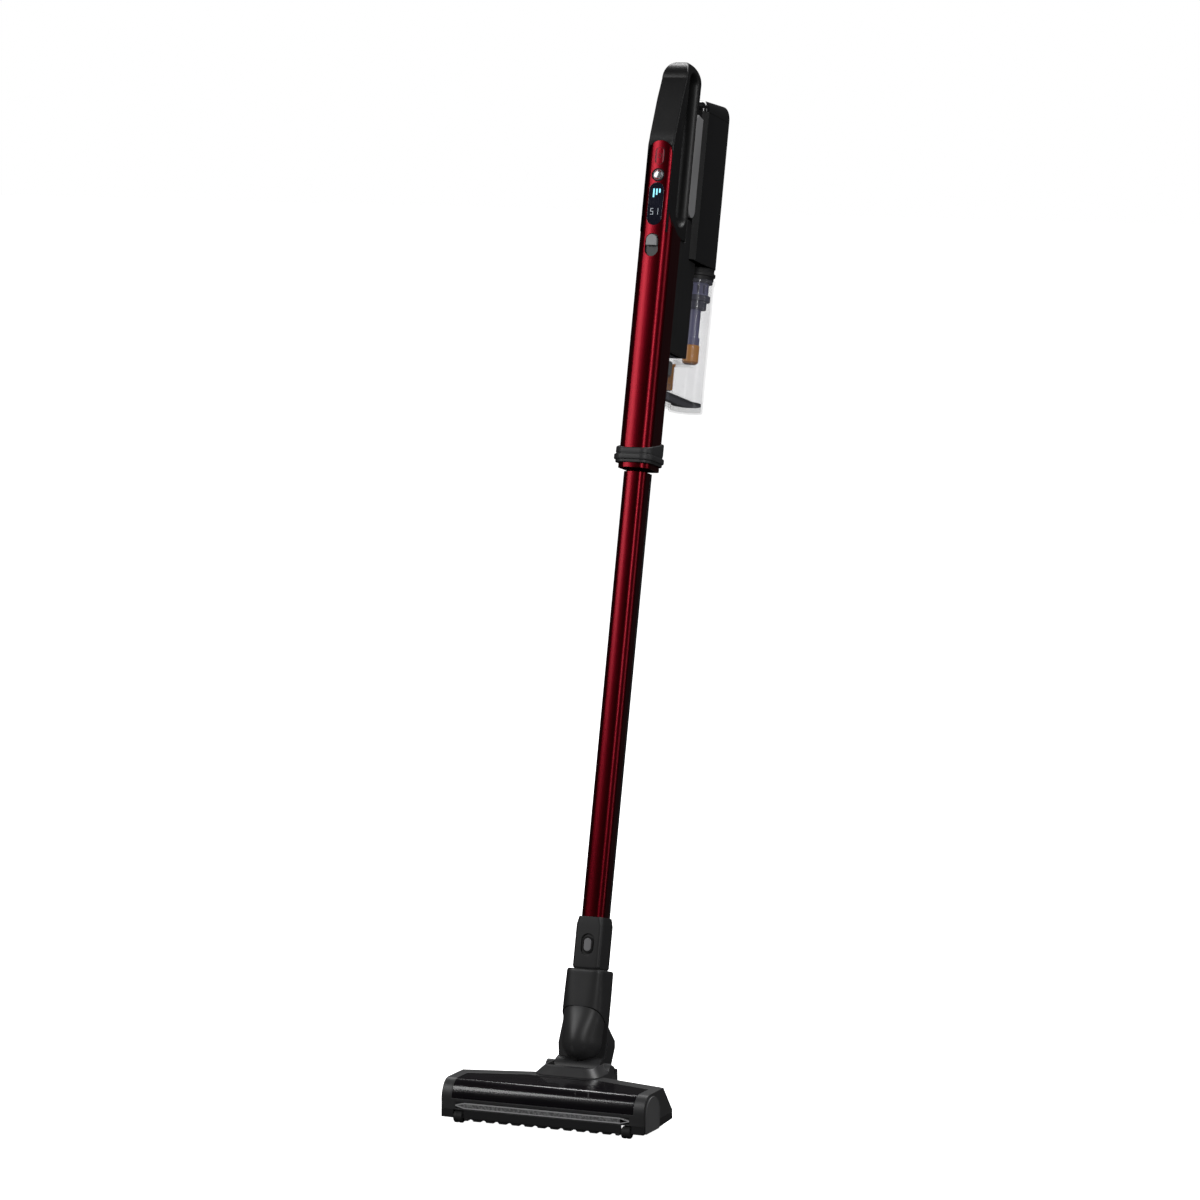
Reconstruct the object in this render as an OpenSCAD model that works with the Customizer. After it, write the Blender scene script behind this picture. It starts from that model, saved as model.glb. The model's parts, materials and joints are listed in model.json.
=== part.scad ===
// Cordless stick vacuum cleaner, millimetres, +Z up, front towards -Y.
// Everything above the neck is drawn in the wand's own frame: z runs up the wand from the
// pitch axis, y runs back from the wand's centre line, and on_wand() leans it into place.

/* [Stance] */
// Lean of the wand back from upright, in degrees
lean = 13.8; // [0:0.1:18]
// Height of the neck's pitch axis above the floor
pivot_z = 40; // [39:0.5:42]
// Distance from the head's front face back to the pitch axis
pivot_y = 95; // [94:0.5:97]

/* [Floor head] */
// Overall width of the floor head
head_w = 215; // [208:1:230]
// Depth of the head at its two ends
head_end_d = 72; // [70:1:74]
// Depth of the head behind its middle
head_mid_d = 90; // [88:1:92]
// Height of the head's top face above the floor
head_top = 41.6; // [41:0.2:44]
// Height of the head's underside above the floor
head_low = 5; // [4.5:0.5:5.5]
// Height of the seam between base and cover
seam_z = 13; // [12:0.5:13.5]
// Wall thickness of the head's shells
head_wall = 2; // [1.6:0.2:2.4]
// Half width of the smoked window
window_half = 95; // [90:1:97]
// Half width of the lamp strip on the front face
strip_half = 91; // [86:1:93]

/* [Brush roll] */
// Outer radius of the bristles
bristle_r = 16; // [14:0.5:16]
// Radius of the roller's core
roller_r = 9; // [8:0.5:10]
// Half length of the roller's core
roller_half = 77; // [70:1:78]
// Distance from the front face back to the roller's axis
roller_y = 24; // [22:0.5:25]
// Height of the roller's axis
roller_z = 19; // [18.5:0.5:21]
// Radius of the roller's pulley
pulley_r = 7; // [6:0.5:8]
// Radius of the motor's pinion
pinion_r = 4; // [3:0.5:5]

/* [Wheels] */
// Radius of the small front wheels
front_wheel_r = 6; // [5:0.5:6.5]
// Distance of each front wheel from the middle
front_wheel_x = 88; // [87:0.5:90]
// Radius of the rear wheels
rear_wheel_r = 9; // [8:0.5:9]
// Distance of each rear wheel from the middle
rear_wheel_x = 17; // [15:0.5:18]

/* [Neck] */
// Radius of the barrel that pitches in the saddle
barrel_r = 14; // [12:0.5:15]
// Half width of the barrel
barrel_half = 24; // [22:0.5:24]
// Radius of the two pitch pins
pitch_pin_r = 5; // [4:0.5:6]
// Height up the wand of the neck's top
neck_top = 99; // [97:1:101]
// Slope of the swivel ring down towards the back, in degrees
swivel_tilt = 38; // [34:1:42]
// Outer radius of the swivel ring
swivel_r = 13; // [11:0.5:14]

/* [Extension pipe] */
// Height up the wand of the connector's top
connector_top = 150; // [146:1:154]
// Side of the connector's nearly square section
connector_w = 29; // [28:0.5:31]
// Width of the pipe
pipe_w = 24; // [22:0.5:25]
// Depth of the pipe with its rear cover
pipe_d = 26.5; // [25:0.5:27]
// Corner radius of the pipe
pipe_r = 6.5; // [5:0.5:8]

/* [Main tube] */
// Width of the main tube
tube_w = 34; // [33:0.5:35]
// Depth of the main tube
tube_d = 40; // [39:0.5:41]
// Corner radius of the main tube
tube_r = 9; // [8:0.5:11]
// Height up the wand of the main tube's lower end
tube_low = 592; // [588:1:594]
// Height up the wand of the main tube's upper end
tube_high = 826; // [824:1:828]
// Top of the red control panel
panel_high = 918; // [914:1:920]

/* [Handle] */
// Width of the handle
grip_w = 28; // [27:0.5:29]
// Height up the wand of the handle's top
handle_top = 1004; // [1000:1:1010]
// Outer radius of the handle's top arch
arch_r = 19; // [18:0.5:20]
// Height up the wand of the finger opening's lower end
slot_low = 849; // [846:1:856]

/* [Motor unit] */
// Half width of the motor unit and radius of its round back
unit_r = 17; // [16.5:0.5:18]
// Distance from the wand's centre line back to that round back's centre
unit_y = 107; // [106:0.5:109]
// Height up the wand of the motor unit's underside
unit_low = 812; // [812:1:814]
// Height up the wand of the motor unit's top
unit_high = 970; // [966:1:974]
// Wall thickness of the motor unit
unit_wall = 2; // [1.6:0.2:2.2]
// Radius of the suction motor
motor_r = 13.6; // [12:0.2:13.8]

/* [Dust case] */
// Outer radius of the clear dust case
case_r = 17.3; // [16.8:0.1:17.6]
// Height up the wand of the dust case's lower edge
case_low = 677; // [675:1:678]
// Height up the wand of the dust case's rim
case_high = 800; // [798:1:801]
// Half width of the dust case's forward part
case_half = 13; // [12:0.5:13.5]
// Wall thickness of the clear parts
case_wall = 1.8; // [1.5:0.1:2]

/* [Hidden] */
$fn = 64;

side_names = [-1, 1];
eps = 0.02;             // overshoot of a cut past a face
gap = 0.3;              // clearance between parts that move
run_fit = 0.04;         // radial running fit of a pin or shaft

// Rear edge of the whole object, from which its middle is found
back_reach = pivot_y + (unit_y + unit_r) * cos(lean) + (unit_high - 8) * sin(lean);
front_reach = -3;
mid_y = (back_reach + front_reach) / 2;

// Floor head
cap_t = 1.5;            // thickness of each end cap
mid_half = 38;          // half width of the head's deep middle
front_run = 15.4;       // depth of the curved front
face_z = 22;            // top of the front's flat face
mid_top_back = 68;      // rear edge of the flat top
rear_high = 16;
rear_low = 8;
sole_back = 34.8;
arc_steps = 12;
window_t = 1.8;
window_z = 24;
window_end_y = 37;
window_mid_y = 53;
strip_low = 14;
strip_high = 20.5;
strip_t = 1.6;
tooth_pitch = 13.6;
tooth_count = 12;
tooth_r = 3.2;
slot_half = 79;         // half width of the suction mouth
slot_front = 5;
slot_back = 42;
floor_t = 2.6;
screw_r = 2.6;
screw_xs = [-60, -44, 44, 60];

// Brush roll drive
stub_r = 3;
stub_half = 91;
bearing_r = 6.5;
bearing_x = 80.2;
bearing_w = 4;
belt_x = -88;
belt_w = 4;
belt_t = 1;
brush_motor_y = 58;
brush_motor_z = 22;
brush_motor_r = 8.2;
brush_motor_len = 36;
brush_motor_x = belt_x + belt_w / 2 + 3;
rotor_r = 6.6;

// Wheels
front_wheel_y = 3;
front_wheel_w = 9;
front_axle_r = 1.5;
rear_wheel_w = 10;
rear_wheel_y = 101;
rear_axle_r = 2;

// Neck
saddle_half = 34;
saddle_front = 54;
saddle_back = 112;
saddle_top = 50;
cheek_in = 25;
neck_clear_r = 29;
dome_r = 20;
seam_front_y = -20;
seam_front_z = 62;
swivel_y = -1;
swivel_z = seam_front_z - (swivel_y - seam_front_y) * tan(swivel_tilt);
ring_low = 7;
ring_high = 8;

// Connector and pipe
pipe_split = 4;         // where the red pipe ends and the rear cover starts
pipe_wall = 1.5;
pipe_low = 144;
pipe_high = 589;
button_low = 116;
button_high = 129;
button_w = 8;
recess_w = 13;
recess_d = 3.5;
latch_low = 546;
latch_high = 578;

// Dusting brush
ring_w = 42;
ring_d = 47;
ring_r = 12;
ring_low_z = 597;
ring_front_top = 611;
ring_rear_top = 622;
bristle_low = 578;

// Main tube and controls
tube_wall = 1.6;
front_face = -tube_d / 2;
panel_half = 12;
panel_edge = -11;       // rear edge of the panel's narrow upper part
display_w = 16;
display_low = 833;
display_high = 876;
mode_z = 883.5;
mode_r = 5.6;
power_w = 9;
power_low = 894;
power_high = 911;
switch_w = 14;
switch_low = 802;
switch_high = 825;
plate_t = 1.6;
knob_w = 11;
knob_h = 11;
knob_proud = 1.8;

// Handle: the arch and the opening in the side view
arch_y = 18;
arch_z = handle_top - arch_r;
slot_front_y = 4;
slot_back_y = 28.5;
slot_r = 10;
grip_low_y = -18;
grip_bend_z = 921;
bar_back = 36;
cheek_top = 954;
spine_low = 714;
spine_back = 67;
spine_half = 12.5;
spine_top = 850;
unit_front = 50;
unit_seam = 56;
cap_low = 962;
cap_round = 7;
slit_w = 1.4;
slit_pitch = 3.4;
slit_count = 9;
cell_r = 9.1;
cell_len = 65;
cell_low = 891;
cell_ys = [68, 87, 106];
motor_low = 838;
motor_high = 884;
fan_low = 829;
fan_high = 836;
fan_r = 12.5;
fan_blades = 9;
shaft_r = 1.5;
latch_w = 11;

// Dust case
basket_r = 12;
basket_low = 784;
slat_count = 12;
slat_w = 2.2;
skirt_r = 14.2;
cup_r = 8.2;
cup_low = 715;
cup_high = 734;
core_r = 6.3;
case_front = 22;
case_box_top = 711;
lid_low = 666;
lid_plate = 672;
duct_back = 43;
duct_low = 693;
flap_y = 46;
flap_z = 704;
flap_low = 679;
flap_t = 1.6;
lid_pin_y = 24;
lid_pin_z = 669.5;
lid_pin_r = 1.5;

// ---------- frames and small shapes ----------

module on_head() {
    translate([0, -mid_y, 0]) children();
}

module on_wand() {
    translate([0, pivot_y - mid_y, pivot_z]) rotate([-lean, 0, 0]) children();
}

// A rectangle with true arcs at its corners
module rounded_rect(w, d, r) {
    square([w - 2 * r, d], center = true);
    square([w, d - 2 * r], center = true);
    for (sx = side_names, sy = side_names)
        translate([sx * (w / 2 - r), sy * (d / 2 - r)]) circle(r = r);
}

module rounded_bar(w, d, r, low, high) {
    translate([0, 0, low]) linear_extrude(high - low) rounded_rect(w, d, r);
}

// A pill standing along z, drawn in the x-z plane and running back by t
module pill(w, low, high, t) {
    rotate([-90, 0, 0]) linear_extrude(t) {
        translate([-w / 2, -high + w / 2]) square([w, high - low - w]);
        for (z = [low + w / 2, high - w / 2])
            translate([0, -z]) circle(d = w);
    }
}

// Extrudes a side view given in y and z, centred on x
module side_extrude(w) {
    rotate([90, 0, 90]) translate([0, 0, -w / 2]) linear_extrude(w) children();
}

module x_rod(r, x0, x1, y, z) {
    translate([x0, y, z]) rotate([0, 90, 0]) cylinder(r = r, h = x1 - x0);
}

// ---------- floor head ----------

function head_profile(depth, top_back, inset) = concat(
    [[inset, head_low + inset]],
    [for (i = [0 : arc_steps]) let (t = 90 * i / arc_steps)
        [inset + (front_run - inset) * (1 - cos(t)),
         face_z + (head_top - inset - face_z) * sin(t)]],
    [[top_back - inset / 2, head_top - inset],
     [depth - inset, rear_high - inset / 2],
     [depth - inset, rear_low + inset],
     [sole_back, head_low + inset]]);

// Everything beyond a plane that is given by a point and its outward direction
module beyond(point, outward) {
    reach = 300;
    translate(point)
        rotate([0, acos(outward.z / norm(outward)), atan2(outward.y, outward.x)])
            translate([-reach, -reach, 0]) cube([2 * reach, 2 * reach, reach]);
}

// The side view carried across the head, with the rear cut away towards both ends
module head_form(inset) {
    end_x = head_w / 2 - cap_t;
    run_x = end_x - mid_half;
    run_y = head_mid_d - head_end_d;
    fall_y = head_mid_d - mid_top_back;
    fall_z = head_top - rear_high;
    slope_out = [run_y * fall_z, run_x * fall_z, run_x * fall_y];
    wall_out = [run_y, run_x, 0];
    difference() {
        side_extrude(2 * (end_x - inset))
            polygon(head_profile(head_mid_d, mid_top_back, inset));
        for (side = [0, 1])
            mirror([side, 0, 0]) {
                beyond([mid_half, mid_top_back, head_top]
                       - inset * slope_out / norm(slope_out), slope_out);
                beyond([mid_half, head_mid_d, 0] - inset * wall_out / norm(wall_out), wall_out);
            }
    }
}

module slab_below(z) {
    translate([-head_w, -head_w / 2, z - head_w]) cube([2 * head_w, 2 * head_w, head_w]);
}

module neck_well(extra) {
    x_rod(neck_clear_r + extra, -cheek_in - extra, cheek_in + extra, pivot_y, pivot_z);
}

module window_space(extra) {
    translate([0, 0, window_z - extra]) linear_extrude(head_top) polygon([
        [-window_half - extra, -front_run], [window_half + extra, -front_run],
        [window_half + extra, window_end_y + extra], [mid_half, window_mid_y + extra],
        [-mid_half, window_mid_y + extra], [-window_half - extra, window_end_y + extra]]);
}

module front_wheel_room() {
    for (side = side_names)
        translate([side * front_wheel_x - front_wheel_w / 2 - 1, -front_run, -eps])
            cube([front_wheel_w + 2, front_run + front_wheel_y + front_wheel_r + 1,
                  2 * front_wheel_r + 1]);
}

module head_base() {
    rear_plate_z = 14;
    color("dimgray") on_head() {
        difference() {
            intersection() {
                head_form(0);
                slab_below(seam_z - gap / 2);
            }
            difference() {
                head_form(head_wall);
                slab_below(head_low + floor_t);
            }
            translate([-slot_half, slot_front, -eps])
                cube([2 * slot_half, slot_back - slot_front, head_top]);
            front_wheel_room();
            x_rod(front_axle_r + run_fit, -head_w / 2 + 8, head_w / 2 - 8,
                  front_wheel_y, front_wheel_r);
            for (x = screw_xs)
                translate([x, slot_back + 5, -eps]) cylinder(r = screw_r + 0.05, h = head_low + 1);
            translate([-saddle_half, head_mid_d - 20, -eps])
                cube([2 * saddle_half, 40, head_top]);
        }
        // blocks that carry the roller's bearings
        for (side = side_names)
            difference() {
                translate([side * (bearing_x + bearing_w / 2) - bearing_w / 2,
                           roller_y - 9, head_low + 1])
                    cube([bearing_w, 18, roller_z - head_low + 7]);
                x_rod(bearing_r + run_fit, side * (bearing_x + bearing_w / 2) - bearing_w,
                      side * (bearing_x + bearing_w / 2) + bearing_w, roller_y, roller_z);
            }
        // carrier plate under the neck, with the rear wheels' wells
        difference() {
            translate([-saddle_half, head_mid_d - 20, head_low])
                cube([2 * saddle_half, saddle_back - head_mid_d + 20, rear_plate_z - head_low - 4]);
            for (side = side_names)
                translate([side * rear_wheel_x - rear_wheel_w / 2 - 1,
                           rear_wheel_y - rear_wheel_r - 1, -eps])
                    cube([rear_wheel_w + 2, 2 * rear_wheel_r + 2, head_top]);
            x_rod(rear_axle_r, -saddle_half - 1, saddle_half + 1, rear_wheel_y, rear_wheel_r);
        }
    }
}

module head_cover() {
    color("#242426") on_head() difference() {
        head_form(0);
        head_form(head_wall);
        slab_below(seam_z);
        window_space(0.1);
        translate([-strip_half - 0.1, -front_run, strip_low - 0.1])
            cube([2 * strip_half + 0.2, front_run + strip_t, strip_high - strip_low + 0.2]);
        front_wheel_room();
        // seat of the neck's saddle
        translate([-saddle_half, saddle_front + 14, 0])
            cube([2 * saddle_half, head_w, 2 * head_top]);
    }
}

module head_window() {
    color("#14141b") on_head() intersection() {
        difference() {
            head_form(0);
            head_form(window_t);
        }
        window_space(0);
    }
}

module light_strip() {
    color("gainsboro") on_head() difference() {
        translate([-strip_half, -0.4, strip_low])
            cube([2 * strip_half, strip_t + 0.4, strip_high - strip_low]);
        // shallow trough behind the lens
        translate([-strip_half + 2, -0.4 - eps, strip_low + 1.2])
            cube([2 * strip_half - 4, 0.8, strip_high - strip_low - 2.4]);
    }
}

module front_bumper() {
    bumper_half = slot_half + 2;
    color("#303032") on_head() difference() {
        translate([-bumper_half, -0.8, head_low - 2.2])
            cube([2 * bumper_half, slot_front + 0.6, 2.2]);
        for (i = [0 : tooth_count - 1])
            translate([(i - (tooth_count - 1) / 2) * tooth_pitch, -front_run, head_low - 3.4])
                rotate([-90, 0, 0]) cylinder(r = tooth_r, h = 2 * front_run);
    }
}

module end_cap(side) {
    arch_half = 17;
    arch_mid = 20;
    color("#3a3a3c") on_head()
        translate([side > 0 ? head_w / 2 - cap_t : -head_w / 2, 0, 0])
            rotate([90, 0, 90]) linear_extrude(cap_t) {
                translate([arch_mid - arch_half, head_low]) square([2 * arch_half, 17]);
                translate([arch_mid, head_low + 17]) circle(r = arch_half);
            }
}

module end_cap_left() { end_cap(-1); }
module end_cap_right() { end_cap(1); }

module neck_saddle() {
    color("#2b2b2d") on_head() difference() {
        union() {
            translate([-saddle_half + 0.05, saddle_front + 14.3, head_low + 5.3])
                cube([2 * saddle_half - 0.1, saddle_back - saddle_front - 24,
                      head_top - head_low - 4.7]);
            hull() {
                translate([0, saddle_front + 20, head_top + 0.1])
                    linear_extrude(1) rounded_rect(2 * saddle_half, 40, 12);
                translate([0, saddle_front + 24, saddle_top - 1])
                    linear_extrude(1) rounded_rect(2 * saddle_half - 14, 34, 12);
            }
            // cheeks that hold the pitch pins
            for (side = side_names)
                hull() {
                    x_rod(11, side > 0 ? cheek_in : -saddle_half,
                          side > 0 ? saddle_half : -cheek_in, pivot_y, pivot_z);
                    translate([side > 0 ? cheek_in : -saddle_half, pivot_y - 18, head_low + 5.3])
                        cube([saddle_half - cheek_in, 30, 4]);
                }
        }
        neck_well(0);
        // open back, so that the wand can lie flat
        translate([-cheek_in, pivot_y, head_low])
            cube([2 * cheek_in, 40, 2 * head_top]);
        translate([-saddle_half - 1, pivot_y + 14, head_low])
            cube([2 * saddle_half + 2, 40, 2 * head_top]);
        for (side = side_names)
            translate([side * rear_wheel_x - rear_wheel_w / 2 - 1,
                       rear_wheel_y - rear_wheel_r - 1, -eps])
                cube([rear_wheel_w + 2, 2 * rear_wheel_r + 2, 2 * rear_wheel_r + 2]);
        x_rod(pitch_pin_r, -saddle_half - 1, saddle_half + 1, pivot_y, pivot_z);
        x_rod(rear_axle_r + run_fit, -saddle_half - 1, saddle_half + 1, rear_wheel_y, rear_wheel_r);
        translate([-20, 0, 14]) cube([40, pivot_y - 10, 12]);
    }
}

module suction_elbow() {
    color("dimgray") on_head() difference() {
        translate([-19, slot_back + 1, head_low + floor_t + 1.8])
            cube([38, saddle_front - slot_back + 12, 23]);
        translate([-17, slot_back, head_low + floor_t + 3.8])
            cube([34, saddle_front - slot_back + 20, 19]);
    }
}

module brush_motor() {
    tail = 3;
    color("silver") on_head() difference() {
        union() {
            x_rod(brush_motor_r, brush_motor_x, brush_motor_x + brush_motor_len,
                  brush_motor_y, brush_motor_z);
            x_rod(brush_motor_r - 3, brush_motor_x + brush_motor_len,
                  brush_motor_x + brush_motor_len + tail, brush_motor_y, brush_motor_z);
        }
        x_rod(rotor_r + 0.6, brush_motor_x + 1.5, brush_motor_x + brush_motor_len - 1.5,
              brush_motor_y, brush_motor_z);
        x_rod(shaft_r + run_fit, brush_motor_x - 1, brush_motor_x + brush_motor_len + 1,
              brush_motor_y, brush_motor_z);
    }
}

// Outline of a loop that runs round the pulley and the pinion
module belt_outline(extra) {
    hull() {
        translate([roller_y, roller_z]) circle(r = pulley_r + extra);
        translate([brush_motor_y, brush_motor_z]) circle(r = pinion_r + extra);
    }
}

module drive_belt() {
    color("#202020") on_head() translate([belt_x, 0, 0]) side_extrude(belt_w) difference() {
        belt_outline(belt_t + 0.1);
        belt_outline(0.1);
    }
}

module roller_bearings() {
    color("silver") on_head() for (side = side_names)
        difference() {
            x_rod(bearing_r, side > 0 ? bearing_x : -bearing_x - bearing_w,
                  side > 0 ? bearing_x + bearing_w : -bearing_x, roller_y, roller_z);
            x_rod(stub_r + run_fit, -head_w, head_w, roller_y, roller_z);
        }
}

module wheel_axles() {
    color("silver") on_head() {
        for (side = side_names)
            x_rod(front_axle_r, side * front_wheel_x - front_wheel_w / 2 - 2.3,
                  side * front_wheel_x + front_wheel_w / 2 + 2.3, front_wheel_y, front_wheel_r);
        x_rod(rear_axle_r, -saddle_half, saddle_half, rear_wheel_y, rear_wheel_r);
    }
}

module head_screws() {
    color("silver") on_head() for (x = screw_xs)
        translate([x, slot_back + 5, head_low - 0.3]) difference() {
            cylinder(r = screw_r, h = 1.2);
            // cross recess in the head
            for (turn = [0, 90])
                rotate([0, 0, turn]) translate([-1.6, -0.4, -eps]) cube([3.2, 0.8, 0.7]);
        }
}

module pitch_pins() {
    color("silver") on_head() for (side = side_names)
        x_rod(pitch_pin_r, side > 0 ? barrel_half - 8 : -saddle_half + 1,
              side > 0 ? saddle_half - 1 : -barrel_half + 8, pivot_y, pivot_z);
}

// ---------- brush roll ----------

module roller_core() {
    color("dimgray") on_head() {
        x_rod(roller_r, -roller_half, roller_half, roller_y, roller_z);
        x_rod(stub_r, -stub_half, stub_half, roller_y, roller_z);
        x_rod(pulley_r, belt_x - belt_w / 2 - 0.5, belt_x + belt_w / 2 + 0.5,
              roller_y, roller_z);
    }
}

module roller_bristles() {
    color("firebrick") on_head() difference() {
        x_rod(bristle_r, -roller_half + 3, roller_half - 3, roller_y, roller_z);
        x_rod(roller_r, -head_w, head_w, roller_y, roller_z);
    }
}

module motor_pinion() {
    color("goldenrod") on_head() {
        x_rod(pinion_r, belt_x - belt_w / 2 - 0.5, belt_x + belt_w / 2 + 0.5,
              brush_motor_y, brush_motor_z);
        x_rod(shaft_r, belt_x + belt_w / 2, brush_motor_x + brush_motor_len,
              brush_motor_y, brush_motor_z);
        x_rod(rotor_r, brush_motor_x + 2.5, brush_motor_x + brush_motor_len - 2.5,
              brush_motor_y, brush_motor_z);
    }
}

// ---------- wheels ----------

module wheel(x, y, r, w, axle_r) {
    color("#3a3a3a") on_head() difference() {
        x_rod(r, x - w / 2, x + w / 2, y, r);
        x_rod(axle_r + run_fit, x - w, x + w, y, r);
        for (side = side_names)
            difference() {
                x_rod(0.72 * r, x + side * w / 2 - 0.8, x + side * w / 2 + 0.8, y, r);
                x_rod(axle_r + 1.2, x - w, x + w, y, r);
            }
    }
}

module front_wheel_left() {
    wheel(-front_wheel_x, front_wheel_y, front_wheel_r, front_wheel_w, front_axle_r);
}
module front_wheel_right() {
    wheel(front_wheel_x, front_wheel_y, front_wheel_r, front_wheel_w, front_axle_r);
}
module rear_wheel_left() {
    wheel(-rear_wheel_x, rear_wheel_y, rear_wheel_r, rear_wheel_w, rear_axle_r);
}
module rear_wheel_right() {
    wheel(rear_wheel_x, rear_wheel_y, rear_wheel_r, rear_wheel_w, rear_axle_r);
}

// ---------- neck ----------

// Everything above or below the sloping plane of the swivel
module swivel_side(up, clear) {
    reach = 120;
    translate([0, swivel_y, swivel_z]) rotate([-swivel_tilt, 0, 0])
        translate([-reach, -reach, up ? clear : -2 * reach - clear])
            cube([2 * reach, 2 * reach, 2 * reach]);
}

module swivel_rod(r, low, high) {
    translate([0, swivel_y, swivel_z]) rotate([-swivel_tilt, 0, 0])
        translate([0, 0, low]) cylinder(r = r, h = high - low);
}

module neck_slice(w, front, back, r, z) {
    translate([0, (front + back) / 2, z]) linear_extrude(1) rounded_rect(w, back - front, r);
}

module neck_fork() {
    fork_front = -2;
    fork_back = 18;
    color("#2e2e30") on_wand() difference() {
        union() {
            intersection() {
                translate([0, fork_back, 0]) rotate([90, 0, 0])
                    linear_extrude(fork_back - fork_front) polygon([
                        [-barrel_half + 1, 2], [barrel_half - 1, 2], [26, 26],
                        [21.5, 63], [-21.5, 63], [-26, 26]]);
                swivel_side(false, gap / 2);
            }
            x_rod(barrel_r, -barrel_half, barrel_half, 0, 0);
        }
        swivel_rod(swivel_r, -ring_low, 20);
        x_rod(pitch_pin_r + run_fit, -50, 50, 0, 0);
        // air passage from the barrel up through the ring
        translate([0, 6, 4]) cylinder(r = 8, h = 60);
    }
}

module neck_dome() {
    dome_back = -2.1;
    color("#39393b") on_wand() difference() {
        intersection() {
            hull() {
                translate([0, -6, 29]) sphere(r = dome_r, $fn = 32);
                neck_slice(43, -20, 10, 9, 62);
                neck_slice(44, -19, 10, 9, 44);
            }
            swivel_side(false, gap / 2);
            translate([-50, dome_back - 100, -50]) cube([100, 100, 200]);
        }
        swivel_rod(swivel_r, -ring_low, 20);
        x_rod(barrel_r + 0.5, -50, 50, 0, 0);
    }
}

module swivel_ring() {
    color("#1c1c1c") on_wand() difference() {
        swivel_rod(swivel_r, -ring_low, ring_high - gap);
        swivel_rod(swivel_r - 3, -20, 20);
    }
}

module neck_housing() {
    color("#343436") on_wand() difference() {
        intersection() {
            hull() {
                neck_slice(44, -20, 18, 8, 30);
                neck_slice(43, -20, 18, 8, 61);
                neck_slice(40, -19, 18, 7, neck_top - 5);
                neck_slice(35, -17, 16, 6, neck_top - 1);
            }
            swivel_side(true, gap / 2);
        }
        swivel_rod(swivel_r + run_fit, -5, ring_high);
        translate([0, 0, 40]) cylinder(r = 9, h = 80);
    }
}

// ---------- connector and pipe ----------

module lower_connector() {
    plug_low = neck_top - 12;
    color("#2f2f31") on_wand() difference() {
        union() {
            hull() {
                rounded_bar(connector_w - 2, connector_w - 2, 4, neck_top, neck_top + 1);
                rounded_bar(connector_w, connector_w, 4, neck_top + 2, connector_top - 8);
                rounded_bar(pipe_w + 2.5, pipe_d + 2, 6, connector_top - 1, connector_top);
            }
            translate([0, 0, plug_low]) cylinder(r = 9, h = neck_top - plug_low + 1);
        }
        translate([0, 0, plug_low - 1]) cylinder(r = 7.2, h = 60);
        rounded_bar(pipe_w, pipe_d, pipe_r, pipe_low, connector_top + 1);
        // recess round the release button
        translate([0, -connector_w / 2 - eps, 0])
            pill(recess_w, button_low - 4, button_high + 4, 1.6);
        translate([0, -connector_w / 2 - eps, 0])
            pill(button_w + 0.6, button_low - 0.3, button_high + 0.3, 1.6 + recess_d);
    }
}

module connector_button() {
    color("lightgray") on_wand() translate([0, -connector_w / 2 + 0.2, 0])
        pill(button_w, button_low, button_high, 2.6);
}

module button_spring() {
    color("silver") on_wand() translate([0, -connector_w / 2 + 2.85, (button_low + button_high) / 2])
        rotate([-90, 0, 0]) difference() {
            cylinder(r = 2.6, h = 2.2);
            translate([0, 0, -1]) cylinder(r = 2, h = 5);
        }
}

module extension_pipe() {
    color("#6d0a17") on_wand() difference() {
        intersection() {
            rounded_bar(pipe_w, pipe_d, pipe_r, pipe_low, pipe_high);
            translate([-pipe_w, -pipe_d, 0]) cube([2 * pipe_w, pipe_d + pipe_split, 700]);
        }
        translate([0, 0, -1]) intersection() {
            rounded_bar(pipe_w - 2 * pipe_wall, pipe_d - 2 * pipe_wall, pipe_r - pipe_wall, 0, 700);
            translate([-pipe_w, -pipe_d, 0])
                cube([2 * pipe_w, pipe_d + pipe_split - pipe_wall, 700]);
        }
    }
}

module pipe_cover() {
    color("#1d1d1f") on_wand() difference() {
        intersection() {
            rounded_bar(pipe_w, pipe_d, pipe_r, connector_top, pipe_high);
            translate([-pipe_w, pipe_split + 0.05, 0]) cube([2 * pipe_w, pipe_d, 700]);
        }
        translate([-pipe_w / 2 + 3, pipe_split - 1, 0]) cube([pipe_w - 6, 6, 700]);
        translate([-8, pipe_d / 2 - 5.2, latch_low - 0.3])
            cube([16, 12, latch_high - latch_low + 0.6]);
    }
}

module conductor_strip() {
    color("#b87333") on_wand() translate([0, pipe_split + 1.2, connector_top + 2])
        for (side = side_names)
            translate([side * 3.5 - 2, 0, 0]) cube([4, 1, pipe_high - connector_top - 6]);
}

module pipe_latch() {
    color("#2a2a2c") on_wand() {
        translate([-7.6, pipe_d / 2 - 2.6, latch_low]) cube([15.2, 5, latch_high - latch_low]);
        for (i = [0 : 3])
            translate([-6, pipe_d / 2 + 2.4 - eps, latch_low + 4 + 4 * i]) cube([12, 0.8, 1.4]);
    }
}

// ---------- dusting brush ----------

module brush_ring() {
    slope = atan((ring_rear_top - ring_front_top) / ring_d);
    color("#333335") on_wand() difference() {
        union() {
            intersection() {
                rounded_bar(ring_w - 2.5, ring_d - 2.5, ring_r - 1, ring_low_z + 4, 640);
                translate([-50, -ring_d / 2, ring_front_top]) rotate([slope, 0, 0])
                    translate([0, -50, -200]) cube([100, 200, 200]);
            }
            rounded_bar(ring_w, ring_d, ring_r, ring_low_z + 3, ring_low_z + 8);
            rounded_bar(ring_w - 3, ring_d - 3, ring_r - 1, ring_low_z, ring_low_z + 4);
        }
        rounded_bar(tube_w + 0.1, tube_d + 0.1, tube_r, 500, 700);
    }
}

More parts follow.
